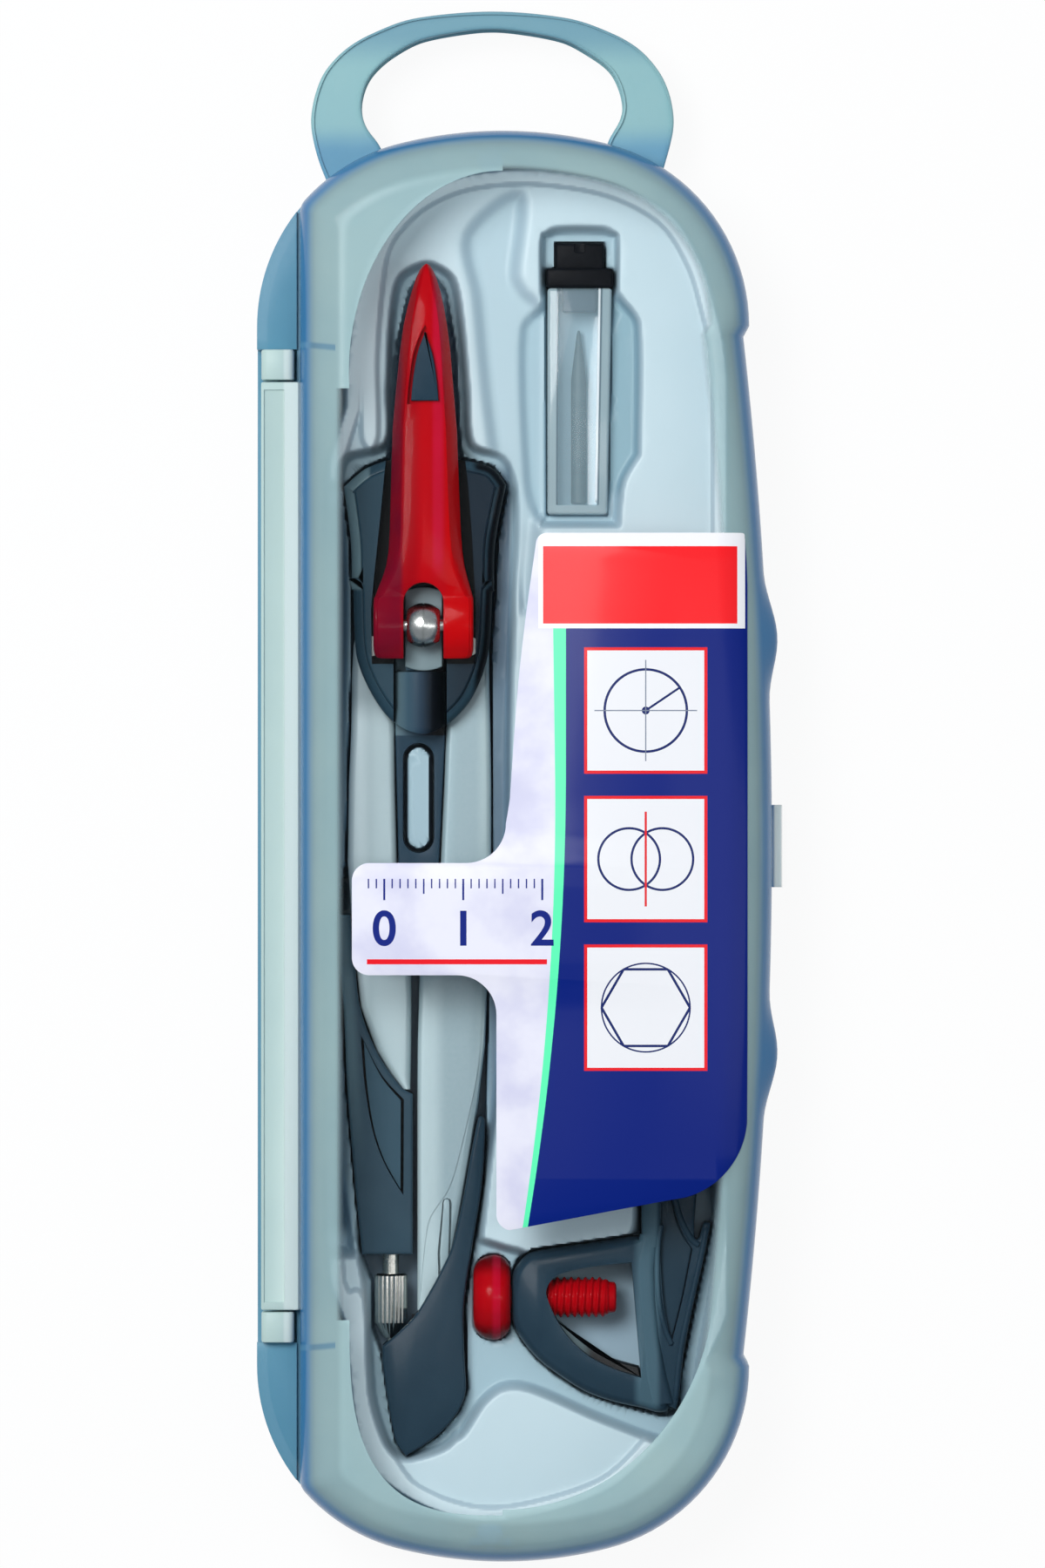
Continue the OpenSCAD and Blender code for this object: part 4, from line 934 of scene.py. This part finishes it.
# Painted light and shade: from the column up, the spine is painted light at its left and near black at its
# right, as light falls across the round column.
across = spine_dark.between(x, -3.9, 2.7)
rounded = spine_dark.ramp(across, (0.0, (96, 122, 132)), (0.2, (62, 88, 104)), (0.55, (40, 60, 78)),
    (0.85, (10, 16, 24)), (1.0, (4, 6, 10)))
lower = spine_dark.mottle(4, 2, (38, 62, 80), (46, 70, 86))
spine_dark.feed("Base Color", spine_dark.blend(spine_dark.between(y, -14.1, -13.9), lower, rounded))
spine_dark.grain(0.35, 0.01, 0.36, 0.14)
fit(spine, spine_dark, "compass", "dark_plastic", "compass_core", angle=45)

# ---- pin, ball and washer ----
# A steel pin crosses the fork of the lever through a nickelled barrel that pulls
# the head tight; the barrel's stud goes down through a grey nylon washer.
nickel = Finish("bright_nickel", Metallic=1.0, IOR=2.0)
tint = nickel.mottle(1.2, 3, (205, 208, 206), (228, 230, 226))
off = abs(nickel.y - CY)
# Painted reflection: the ball is painted near black towards its sides along Y, above its middle.
tint = nickel.blend(nickel.between(off, 1.9, 2.7) * nickel.between(nickel.z, 13, 14), tint, (14, 16, 18))
nickel.feed("Base Color", tint)
nickel.grain(0.6, 0.004, 0.26, 0.1)
barrel = turned("tension_barrel", (CX, CY, AXLE_Z), 0,
    [(-2.1, 1.2), (-2.1, 1.85), (-1.95, 2.08), (-1.6, 2.36), (-1.1, 2.63), (-0.6, 2.78), (-0.12, 2.84),
    (-0.05, 2.76), (0.05, 2.76), (0.12, 2.84), (0.6, 2.78), (1.1, 2.63), (1.6, 2.36), (1.95, 2.08),
    (2.1, 1.85), (2.1, 1.2)], 72)
stud = turned("stud", (CX, AXLE_Z - 2.0, -CY), 1, [(-10.7, 1.1), (-10.5, 1.25), (0, 1.25)], 32)
for point in stud.data.vertices:
    point.co.y, point.co.z = -point.co.z, point.co.y
fit(joined(barrel, stud), nickel, "compass", "chrome", "tension_ball", angle=40)
pin = turned("cross_pin", (CX, CY, AXLE_Z), 0, [(-6.05, 0.55), (-5.95, 0.75), (-5.8, 0.8), (5.8, 0.8),
    (5.95, 0.75), (6.05, 0.55)], 32)
fit(pin, nickel, "compass", "steel", "lever_pin")

washer_grey = Finish("grey_nylon", Roughness=0.45, IOR=1.5, Specular_IOR_Level=0.2)
washer_grey.feed("Base Color", washer_grey.mottle(2, 3, (116, 138, 144), (134, 154, 160)))
side = math.degrees(math.acos(2.38 / 5.33))
washer = plate("grey_washer", shift(np.concatenate([arc(0, -0.45, 5.33, side, 180 - side, 16),
    arc(0, -0.45, 5.33, 180 + side, 360 - side, 16)])), 11.33, 12.13, 0.2)
pierce(washer, "stud_hole", shift(arc(0, 0, 1.32, 0, 350, 36)), 10, 14)
fit(washer, washer_grey, "compass", "grey_plastic", "cam_washer")

# ---- lever ----
# The red locking lever is a glossy moulding with three long facets. Its fork has
# round ends about the axle, and a small dark panel is let into its face.
lever_edges = [  # distance from the axle, left edge, right edge, top, flank width, flank drop
    (46, 0.28, 0.48, 14.6, 0.08, 0.3), (45.75, -0.1, 0.85, 15.0, 0.3, 0.7),
    (45.2, -0.5, 1.2, 15.4, 0.5, 1.1), (44.2, -0.95, 1.65, 15.8, 0.75, 1.5),
    (42.5, -1.5, 2.15, 16.2, 0.95, 1.9), (40.5, -2.05, 2.6, 16.5, 1.1, 2.2),
    (38.2, -2.55, 3.0, 16.7, 1.2, 2.4), (35, -3.0, 3.4, 16.8, 1.35, 2.5),
    (30.2, -3.5, 3.8, 16.85, 1.5, 2.6), (24.7, -3.96, 4.25, 16.85, 1.6, 2.6),
    (18, -4.15, 4.5, 16.85, 1.65, 2.6), (12, -4.3, 4.75, 16.85, 1.65, 2.5),
    (9.4, -4.45, 4.95, 16.8, 1.6, 2.2), (7.6, -4.75, 5.2, 16.7, 1.5, 1.9),
    (6.0, -5.25, 5.6, 16.55, 1.4, 1.5), (4.8, -5.75, 5.95, 16.4, 1.2, 1.2),
    (3.7, -6.15, 6.25, 16.15, 0.9, 0.9), (3.45, -6.3, 6.33, 16.2, 0.6, 0.6),
    (2.6, -6.35, 6.35, 16.5, 0.5, 0.5), (1.3, -6.35, 6.35, 16.78, 0.5, 0.5),
    (0, -6.35, 6.35, 16.85, 0.5, 0.5), (-1.3, -6.35, 6.35, 16.75, 0.5, 0.5),
    (-2.5, -6.35, 6.35, 16.4, 0.5, 0.5), (-3.2, -6.33, 6.33, 15.9, 0.5, 0.5),
    (-3.8, -6.2, 6.2, 15.4, 0.5, 0.5), (-4.15, -5.9, 5.9, 15.2, 0.5, 0.5),
    (-4.25, -5.5, 5.5, 15.05, 0.5, 0.5)]
FORK_R, UNDERSIDE = 4.28, 12.25
rings = []
for y, left, right, high, flank, drop in lever_edges:
    low = UNDERSIDE + 0.8 * max(0, y - 43) / 3
    if y < -3:  # round about the axle, so it clears the leg pivots when the lever is thrown
        low = max(low, AXLE_Z - math.sqrt(FORK_R ** 2 - y ** 2))
    wall = high - drop
    upper = [(left, low + 0.12), (left, wall - 0.25), (left + flank * 0.07, wall),
        (left + flank * 0.5, high - drop * 0.42), (left + flank * 0.86, high - 0.16),
        (left + flank * 1.1, high - 0.02)]
    middle = (left + right) / 2
    mirrored = [(left + right - u, h) for u, h in upper[::-1]]
    section = [(left + 0.1, low)] + upper + [(middle, high)] + mirrored + [(right - 0.1, low)]
    rings.append([(u + CX, y + CY, h) for u, h in section])
lever = skin("locking_lever", rings)
slot = shift(np.concatenate([[(-2.55, -8)], [(2.55, -8)], arc(0, 2.85, 2.55, 0, 180, 24)]))
pierce(lever, "fork_slot", slot, 8, 20)
soften(lever, 0.28, 3, 58)
inlay_line = [(-1.75, 28.35), (-1.75, 28.35), (-1.45, 31.5), (-0.85, 34.8), (0.2, 37.6), (0.2, 37.6),
    (1.3, 34.5), (1.85, 31.2), (2.1, 28.35), (2.1, 28.35)]
pierce(lever, "inlay_room", smooth(inlay_line, 5), 15.97, 18, -0.3)
red = plastic("glossy_red", 0.03, 0.05, 0.05)
x, y = red.x - CX, red.y - CY
# Painted light and shade across the lever's facets: a dark magenta painted reflection on the left flank, a
# painted highlight stripe right of the middle, and a brighter right flank. The noise gives it uneven tone.
flanks = red.blend(red.between(x, -3.1, -2.3), (116, 6, 34), (160, 0, 14))
flanks = red.blend(red.between(x, -1.6, 0.2), flanks, (186, 2, 14))
stripe = red.between(x, 0.9, 1.5) * red.between(2.9 - x, 0, 0.8) * red.between(y, 5.5, 9)
flanks = red.over(flanks,
    (stripe * 0.35, (206, 30, 80)),
    (red.between(x, 2.5, 3.3), (194, 0, 4)),
    (red.between(red.noise(6, 2), 0.3, 0.7) * 0.25, (170, 4, 20)))
red.feed("Base Color", flanks)
red.grain(0.8, 0.004, 0.2, 0.06)
fit(lever, red, "lever", "red_plastic", "lock_lever", angle=28)
inlay = plate("lever_panel", inset(smooth(inlay_line, 5), 0.16), 16.0, 16.6, 0.12)
panel_dark = plastic("panel_nylon", 0.08)
panel_dark.feed("Base Color", panel_dark.mottle(2, 3, (25, 50, 66), (33, 58, 74)))
panel_dark.grain(0.3, 0.008, 0.42, 0.14)
fit(inlay, panel_dark, "lever", "dark_plastic", "lever_inlay")

# ---- needle leg ----
# A silver painted leg whose lower end goes into a dark cladding with a sunk panel.
# A steel shaft comes out of it and carries the knurled chuck of the needle.
paint = Finish("silver_paint", Metallic=0.15, IOR=1.5, Specular_IOR_Level=0.4, Coat_Weight=0.25,
    Coat_Roughness=0.15)
x, y = paint.x - CX, paint.y - CY
fleck = paint.noise(0.5, 3)
cloud = paint.noise(14, 3)
silver = paint.blend(cloud, (172, 196, 202), (184, 206, 210))
# Painted light and shade on the silver: a painted highlight along the left edge of the needle leg, the lead
# leg painted darker with a lighter strip along its right edge, and painted shadow of the head on both legs
# near the top. The flecks are the paint's own.
silver = paint.over(silver,
    (paint.between(-1 * x, 6.6, 8.4), (222, 242, 246)),
    (paint.between(x, 1.0, 3.0), (146, 172, 180)),
    (paint.between(x, 6.4, 8.0), (176, 200, 204)),
    (paint.between(y, -13, -8.5) * 0.6, (100, 124, 134)))
paint.feed("Base Color", paint.blend(fleck * 0.12, silver, (226, 236, 236)))
paint.grain(0.5, 0.006, 0.36, 0.16)
leg = lofted("leg_left", [(-0.6, -8.6, -5.0), (-2.5, -9.0, -4.2), (-6, -9.2, -3.9), (-13.4, -9.3, -3.75),
    (-20, -9.6, -3.7), (-30.2, -9.75, -3.45), (-36.7, -9.3, -2.5), (-44.4, -8.6, -1.65),
    (-48.7, -8.1, -1.6), (-54.2, -6.1, -1.65), (-57.2, -4.3, -1.7), (-59.2, -2.6, -1.75)], LEG_Z, LEG_TOP,
    0.9, crown=0.15)
fit(leg, paint, "compass", "leg_paint", "needle_leg", angle=50)

sleeve_line = smooth([(-11, -36.9), (-11, -36.9), (-10.8, -42.7), (-10.2, -49.9), (-9.8, -59),
    (-8.8, -71.4), (-7.9, -80.3), (-7.9, -80.3), (-1.4, -80.3), (-1.4, -80.3), (-1.4, -59.8), (-1.4, -59.8),
    (-2.9, -58.9), (-6, -54.4), (-8.1, -48.9), (-8.8, -43), (-9.35, -36.9), (-9.35, -36.9)], 5)
sleeve = plate("leg_sleeve", sleeve_line, 3.25, 9.65, 0.45)
panel_line = smooth([(-8.0, -52.4), (-8.0, -52.4), (-5.4, -57.4), (-2.6, -60.5), (-2.6, -60.5),
    (-2.65, -72.6), (-2.65, -72.6), (-5.0, -68.6), (-6.5, -64.4), (-7.5, -58.6)], 5)
pierce(sleeve, "panel_room", panel_line, 7.6, 12, -0.05)
sleeve_dark = plastic("sleeve_nylon", 0.1, 0.03, 0.2)
x, y = sleeve_dark.x - CX, sleeve_dark.y - CY
side = x - (-11.0 - (y + 36.9) * 0.07)
tone = sleeve_dark.mottle(4, 3, (50, 72, 86), (58, 82, 96))
# Painted light and shade: a painted highlight along the left side of the cladding, and its sunk panel's
# recess painted near black for the shade in it.
tone = sleeve_dark.over(tone,
    (sleeve_dark.between(1.9 - side, 0, 1.3) * sleeve_dark.between(y, -72, -50), (92, 118, 128)),
    (sleeve_dark.between(8.2 - sleeve_dark.z, 0, 0.4), (6, 9, 13)))
sleeve_dark.feed("Base Color", tone)
sleeve_dark.grain(0.35, 0.008, 0.34, 0.14)
fit(sleeve, sleeve_dark, "compass", "dark_plastic", "needle_leg_cladding", angle=40)
middle = panel_line.mean(0)
sunk = plate("sleeve_panel", (panel_line - middle) * (0.88, 0.94) + middle, 7.7, 9.2, 0.04, 0.02)
panel_teal = plastic("sunk_panel_nylon", 0.1)
panel_teal.feed("Base Color", panel_teal.mottle(3, 3, (56, 82, 97), (66, 94, 109)))
panel_teal.grain(0.3, 0.008, 0.36, 0.14)
fit(sunk, panel_teal, "compass", "dark_plastic")

steel = Finish("turned_steel", Metallic=1.0)
steel.feed("Base Color", steel.mottle(0.8, 4, (176, 178, 172), (214, 214, 206)))
steel.grain(0.25, 0.004, 0.26, 0.12)
SHAFT = (CX - 4.25, CY, LEG_Z + 2.6)
shaft = turned("needle_shaft", SHAFT, 1, [(-87.4, 0.9), (-87.3, 1.05), (-76, 1.05), (-75.8, 0.9)], 32)
fit(shaft, steel, "compass", "steel", "needle_shaft")
knurls = lambda angle, at, r: -0.16 * (r > 1.7) * (0.5 - 0.5 * np.cos(20 * angle)) ** 2
chuck = turned("needle_chuck", SHAFT, 1, [(-82.8, 1.3), (-82.82, 1.75), (-82.95, 1.95), (-83.1, 2.1),
    (-88.6, 2.1), (-89.1, 2.06), (-89.4, 1.8), (-90.4, 1.3), (-91.0, 0.85), (-91.0, 0.5)], 200, knurls)
chrome = Finish("chrome_plate", Metallic=1.0)
chrome.feed("Base Color", chrome.mottle(1, 3, (214, 212, 204), (238, 238, 232)))
chrome.grain(0.4, 0.003, 0.16, 0.06)
fit(chuck, chrome, "collet", "chrome", "knurled_collet", angle=25)
point_steel = turned("needle_point", SHAFT, 1, [(-84.2, 0.3), (-84.3, 0.44), (-93.5, 0.44), (-94.1, 0.3),
    (-95.0, 0.05)], 24)
fit(point_steel, steel, "compass", "steel", "needle")

# ---- lead leg ----
# The other silver leg, with a raised facet along its face and a narrow slot. A dark
# foot cover wraps its end, hides the needle point and holds the drawing lead.
leg = lofted("leg_right", [(-0.6, 4.6, 8.0), (-2.5, 3.5, 8.3), (-6, 3.1, 8.35), (-13.4, 2.85, 8.5),
    (-20, 2.6, 8.6), (-30.2, 2.15, 8.6), (-37, 0.85, 8.45), (-44.4, -0.55, 8.15), (-53.5, -0.8, 7.8),
    (-61.2, -0.85, 6.9), (-68, -0.85, 5.8), (-76, -0.85, 4.4), (-82, -0.85, 3.2), (-87.4, -0.85, 1.6)],
    LEG_Z, LEG_TOP, 0.7)
facet = smooth([(9.5, -30), (9.5, -30), (9.5, -90), (9.5, -90), (-0.8, -90), (-0.8, -90), (0.5, -76.4),
    (3.2, -71.8), (4.8, -66.4), (6.7, -57.8), (7.5, -51.3), (8.2, -42)], 6)
pierce(leg, "face_facet", facet, 8.88, 12)
notch = shift([(1.9, -84.5), (1.75, -80), (2.35, -74.2)]
    + [(2.95 + 0.6 * math.cos(a), -73.7 + 0.6 * math.sin(a)) for a in np.radians((180, 135, 90, 45, 0))]
    + [(3.5, -76), (3.2, -84.5)])
pierce(leg, "leg_slot", notch, 7.5, 12)
fit(leg, paint, "compass", "leg_paint", "lead_leg", angle=40)
tongue = plate("slot_tongue", notch, 7.4, 8.62, 0.12, 0.1)
for point in tongue.data.vertices:
    point.co.x += (point.co.x - (CX + 2.7) * MM) * -0.3
fit(tongue, paint, "compass", "leg_paint")

foot_line = smooth([(6.95, -62.9), (7.5, -62.7), (7.85, -63.6), (7.4, -71.4), (6.2, -79.1), (5.1, -87.1),
    (5.2, -94), (5.35, -97.6), (4.4, -100.3), (1.7, -103.4), (-2.3, -106), (-2.3, -106), (-3.6, -104.1),
    (-4.7, -98.4), (-5.3, -94), (-5.3, -92), (-5.3, -92), (-2.8, -89.8), (-1, -87.9), (0.8, -84.9),
    (2, -82.7), (3.6, -79.2), (4.9, -73.6), (5.9, -68)], 5)
foot = moulded("foot_cover", foot_line, [(0.2, REST), (0, REST + 0.25), (0, 9.75), (0.04, 9.97),
    (0.12, 10.13), (0.22, 10.21), (0.32, 10.25)])
carve(foot, turned("needle_hollow", SHAFT, 1, [(-79, 2.55), (-94, 2.55), (-96.2, 1.2)], 40))
fit(foot, nylon, "compass", "dark_plastic", "lead_foot_cover", angle=50)

for name, light, dark, rough in (("leg_pivots", (196, 198, 196), (170, 173, 172), 0.3),
                                 ("compass_lead", (44, 46, 50), (30, 31, 34), 0.5)):
    part = Finish(name + "_finish", Metallic=1.0 if name == "leg_pivots" else 0.0)
    part.feed("Base Color", part.mottle(0.8, 3, dark, light))
    part.grain(0.3, 0.004, rough, 0.12)
    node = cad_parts[name]
    node.data.materials.clear()
    node.data.materials.append(part.material)

# ---- adaptor ----
# A dark nylon frame that clamps a pencil: a rounded nose round an open window, a
# side wing with a sunk lens panel and ribs, and a stem that goes under the label.
NOSE_LOW, NOSE_TOP = 4.0, 11.4


def nosed(points, per=6, closed=True):
    """A smooth line that is given about the nose, at its place."""
    return shift(spline(points, per, closed), NOSE)


def rib(name, path, radius, z, ends=0.15):
    """A half-sunk round rib along a line."""
    path = np.array(path, float)
    way = np.gradient(path, axis=0)
    way /= np.linalg.norm(way, axis=1)[:, None]
    rings = []
    for i, ((px, py), (dx, dy)) in enumerate(zip(path, way)):
        r = radius * (ends if i in (0, len(path) - 1) else 1)
        rings.append([(px - dy * r * math.cos(a), py + dx * r * math.cos(a),
            z + r * math.sin(a)) for a in np.linspace(0, 2 * math.pi, 16, endpoint=False)])
    return skin(name, rings)


ring_line = nosed([(-0.15, 0), (0.2, 3.1), (1.4, 5.0), (2.9, 5.95), (10.29, 7.03), (15.4, 7.8), (18.6, 8.0),
    (18.6, 8.0), (18.0, 4), (18.1, 0), (18.6, -5), (19.5, -10), (20.2, -13.0), (19.96, -14.4),
    (18.62, -14.63), (16.62, -14.08), (13.07, -13.3), (9.4, -11.97), (5.84, -9.74), (3.4, -7.86),
    (1.4, -5.52), (0.18, -3.19)])
ring = moulded("adaptor_nose", ring_line, [(0.3, NOSE_LOW), (0, NOSE_LOW + 0.3), (0, 9.2), (0.08, 9.9),
    (0.3, 10.6), (0.65, 11.1), (1.05, NOSE_TOP - 0.05)])
gap = nosed([(15.3, 4.6), (15.3, 4.6), (15.9, -2.5), (16.55, -10.15), (16.55, -10.15), (13.07, -9.05),
    (9.4, -7.05), (6.4, -3.86), (4.45, 0.37), (4.8, 1.9), (6.1, 3.05), (9.4, 3.9)])
pierce(ring, "pencil_gap", gap, 0, 20)
soften(ring, 0.35, 3, 50)
carve(ring, turned("screw_bore", (*NOSE, SCREW_Z), 0, [(-2, 2.65), (10, 2.65)], 40))
wing_line = shift([(16.6, 7.6), (16.55, 16.9), (23.9, 16.9), (23.6, 13), (23.35, 9.8), (23.35, 7.9),
    (23.6, 7.45), (23.95, 7.6), (24.45, 9.4), (24.7, 9.65), (25.4, 9.6), (25.35, 9.0), (24.4, 5.0),
    (22.9, -2), (21.9, -7.5), (21.4, -12.5), (21.0, -14.2), (19.6, -13.5), (17.5, -10), (17.1, 0)], NOSE)
wing = plate("adaptor_wing", wing_line, NOSE_LOW, 10.9, 0.35)
lens = nosed([(19.3, 15.5), (19.3, 15.5), (18.95, 9), (19.05, 3.7), (19.5, -1.5), (20.45, -5.6),
    (20.45, -5.6), (21.9, 0.2), (23.1, 6.3), (23.1, 6.3), (21.9, 8.2), (20.9, 10.8), (20.3, 15.5),
    (20.3, 15.5)], 5)
pierce(wing, "lens_room", lens, 9.5, 14)
stem = lofted("adaptor_stem", [(6.5, 16.9, 18.9), (7.4, 16.6, 19.1), (9, 16.55, 19.15), (17, 16.6, 19.2)],
    NOSE_LOW, NOSE_TOP - 0.02, 1.05, NOSE)
bar = lofted("adaptor_bar", [(8.2, 16.4, 18.9), (4, 15.4, 18.3), (0, 15.75, 18.4), (-5, 16.2, 18.9),
    (-10, 16.6, 19.9), (-13.4, 17.4, 20.8)], NOSE_LOW, NOSE_TOP, 0.9, NOSE)
lens_rib = rib("lens_rib", nosed([(19.2, 9.5), (18.75, 7.5), (18.6, 4), (18.8, 0), (19.5, -3.6),
    (20.5, -6.1)], closed=False), 0.36, 10.9)
wing_rib = rib("wing_rib", nosed([(20.45, 16.4), (20.7, 13.6), (21.5, 10.3), (22.9, 7.6), (24.0, 6.7)],
    closed=False), 0.42, 10.85)
edge_rib = rib("edge_rib", nosed([(24.9, 9.2), (24.1, 5.0), (22.5, -2), (21.5, -7), (20.9, -13.2)],
    closed=False), 0.4, 10.8)
hidden_stem = turned("stem_socket", (NOSE[0] + 19.2, NOSE[1], SCREW_Z), 1,
    [(15, 1.5), (15.2, 1.68), (31.2, 1.68), (31.5, 1.4)], 32)
fit(joined(ring, bar, wing, stem, lens_rib, wing_rib, edge_rib, hidden_stem), nylon, "adaptor",
    "dark_plastic", "adaptor_body", angle=42)
lens_plate = plate("lens_panel", lens, 9.3, 10.15, 0.15, 0.1)
for point in lens_plate.data.vertices:
    point.co.x -= 0.12 * MM
fit(lens_plate, nylon, "adaptor", "dark_plastic")
# A dark piece set in the pencil window stands in for the shade under its lower arm: painted shade, near
# black at its right, lighter at its left.
lip = moulded("shadow_lip", nosed([(5.9, -3.0), (9.0, -5.6), (12, -7.6), (16.3, -8.9), (16.3, -8.9),
    (16.6, -10.4), (16.6, -10.4), (13.0, -9.3), (9.2, -7.2), (6.3, -4.1)], 5),
    [(0.1, NOSE_LOW + 0.1), (0, NOSE_LOW + 0.4), (0, 7.0), (0.2, 7.3)])
lip_shade = Finish("shaded_nylon", Roughness=0.5)
share = lip_shade.between(lip_shade.x, NOSE[0] + 8.6, NOSE[0] + 10.6)
lip_shade.feed("Base Color", lip_shade.blend(share, (92, 116, 122),
    lip_shade.mottle(2, 2, (4, 6, 9), (10, 14, 18))))
fit(lip, lip_shade, "adaptor", "dark_plastic")

# ---- clamp screw ----
# A red knob moulded in one with its coarse thread. The knob has shallow grips
# round it; the thread ends in a plain dog point.
grips = lambda angle, at, r: -0.13 * np.clip((r - 3.4) / 1.6, 0, 1) * (0.5 + 0.5 * np.cos(6 * angle)) ** 5
knob = turned("clamp_knob", (*NOSE, SCREW_Z), 0, [(-4.88, 1.5), (-4.88, 3.4), (-4.75, 4.0), (-4.45, 4.55),
    (-4.0, 5.0), (-3.4, 5.35), (-2.7, 5.52), (-2.0, 5.52), (-1.3, 5.35), (-0.75, 5.0), (-0.35, 4.5),
    (-0.14, 3.9), (-0.12, 1.5)], 96, grips)
PITCH = 0.9


def helix(angle, at, r):
    turn = (at / PITCH + angle / (2 * math.pi)) % 1
    return 0.36 * np.clip(1.25 - abs(turn - 0.5) * 3.4, 0, 1) * np.clip((12.2 - at) / 0.6, 0, 1)


thread = turned("clamp_thread", (*NOSE, SCREW_Z), 0, [(-0.2, 1.5), (0.85, 1.5)]
    + [(at, 2.24) for at in np.arange(0.9, 12.3, 0.09)] + [(12.35, 2.1), (12.5, 1.98), (13.1, 1.95),
    (13.3, 1.8), (13.4, 1.5)], 64, helix)
clamp_red = plastic("knob_red", 0.04, 0.08, 0.08)
tone = clamp_red.mottle(5, 2, (168, 0, 10), (196, 2, 18))
# Painted shade darkens the knob towards its sides along Y, and a painted highlight stripe runs round it.
tone = clamp_red.blend(clamp_red.between(abs(clamp_red.y - NOSE[1]), 2.2, 5.2), tone, (98, 0, 6))
shine = clamp_red.between(clamp_red.x, NOSE[0] - 2.7, NOSE[0] - 2.1) * (clamp_red.x < NOSE[0] - 1.4)
tone = clamp_red.blend(shine * 0.35, tone, (216, 24, 70))
clamp_red.feed("Base Color", tone)
clamp_red.grain(0.7, 0.004, 0.24, 0.08)
fit(joined(knob, thread), clamp_red, "screw", "red_plastic", "clamp_screw", angle=35)

# ---- lead box ----
# A clear square tube, a little narrower at its foot, with a spare lead in its
# round-cornered bore and a black stopper pushed into its open end.
BOX_X, BOX_Y, BOX_Z, TUBE_L = 9.8, 42.3, 6.25, 28.9


def squared(name, half, start, stop, edge):
    """A square bar about the axis of the box, with rounded edges."""
    return block(name, (BOX_X - half, BOX_Y + start, BOX_Z - half),
        (BOX_X + half, BOX_Y + stop, BOX_Z + half), edge, 3)


def taper(piece):
    """Narrows a piece of the box towards the foot of the tube, as its mould does."""
    for point in piece.data.vertices:
        down = min(1, max(0, 1 - (point.co.y / MM - BOX_Y) / TUBE_L))
        off = point.co.x / MM - BOX_X
        point.co.x = (BOX_X + off * (1 - 0.07 * down) - 0.3 * down) * MM


tube = squared("clear_tube", 4.12, 0, TUBE_L, 0.45)
carve(tube, squared("bore", 2.8, 1.2, TUBE_L + 2, 0.3))
taper(tube)
clear = Finish("clear_styrene", Roughness=0.1, IOR=1.5, Specular_IOR_Level=0.4, Coat_Weight=0.3,
    Coat_Roughness=0.04)
x, y = clear.x - BOX_X, clear.y - BOX_Y
down = (TUBE_L - y) / TUBE_L
across = (x + 0.3 * down) / (1 - 0.07 * down)
in_bore = clear.between(2.85 - abs(across), 0, 0.1) * clear.between(y, 1.1, 1.3)
rim = clear.between(0.16 - abs(abs(across) - 2.84), 0, 0.08) * clear.between(y, 1.1, 1.3)
# A painted highlight runs along the right inner edge of the bore, and shows more strongly on the top face.
highlight_streak = clear.between(0.2 - abs(across - 2.55), 0, 0.12) * clear.between(y, 1.3, 2.2)
tone = clear.blend(in_bore, clear.mottle(6, 2, (206, 236, 246), (214, 242, 250)), (204, 238, 252))
tone = clear.over(tone,
    (rim, (126, 150, 162)),
    (highlight_streak, (236, 246, 250)))
clear.feed("Base Color", tone)
top_face = clear.between(clear.z, BOX_Z + 3.6, BOX_Z + 4.0)
under = clear.between(BOX_Z - clear.z, 0, 1)
body = in_bore * (0.14 + under * 0.76) + (1 - in_bore) * 0.5 + rim * 0.25
clear.feed("Alpha", body + highlight_streak * top_face * 0.7)
fit(tube, clear, "lead_box", "clear_plastic", "lead_tube", angle=45)

graphite = Finish("graphite", Roughness=0.5)
graphite.feed("Base Color", graphite.mottle(1.2, 3, (66, 88, 94), (86, 108, 112)))
graphite.feed("Normal", graphite.node("Bump", {"Strength": 1.0, "Distance": 0.01 * MM,
    "Height": graphite.noise(0.4)}))
spare = turned("spare_lead", (BOX_X - 0.1, BOX_Y, BOX_Z - 1.75), 1,
    [(1.5, 0.8), (1.6, 0.98), (17.4, 0.98), (17.7, 0.94), (20.6, 0.58), (23.3, 0.24), (23.7, 0.1)], 28)
fit(spare, graphite, "lead_box", "graphite", "spare_lead", angle=40)

flange = squared("stopper_flange", 4.25, 28.97, 31.4, 0.35)
crown = squared("stopper_top", 3.12, 31.2, 34.65, 0.4)
dimple = block("stopper_dimple", (BOX_X - 0.7, BOX_Y + 33.4, BOX_Z + 2.9),
    (BOX_X + 0.7, BOX_Y + 36, BOX_Z + 4), 0.2)
carve(crown, dimple)
plug = squared("stopper_plug", 2.18, 25.93, 29.9, 0.3)
black = plastic("black_polyethylene", 0.06, 0.02, 0.3)
y = black.y - BOX_Y
shade = black.mottle(2, 4, (6, 8, 11), (20, 22, 28))
black.feed("Base Color", black.blend(black.between(y, 28.5, 28.95), (66, 76, 88), shade))
black.grain(0.4, 0.02, 0.5, 0.2)
fit(joined(flange, crown, plug), black, "cap", "black_plastic", "lead_cap", angle=45)
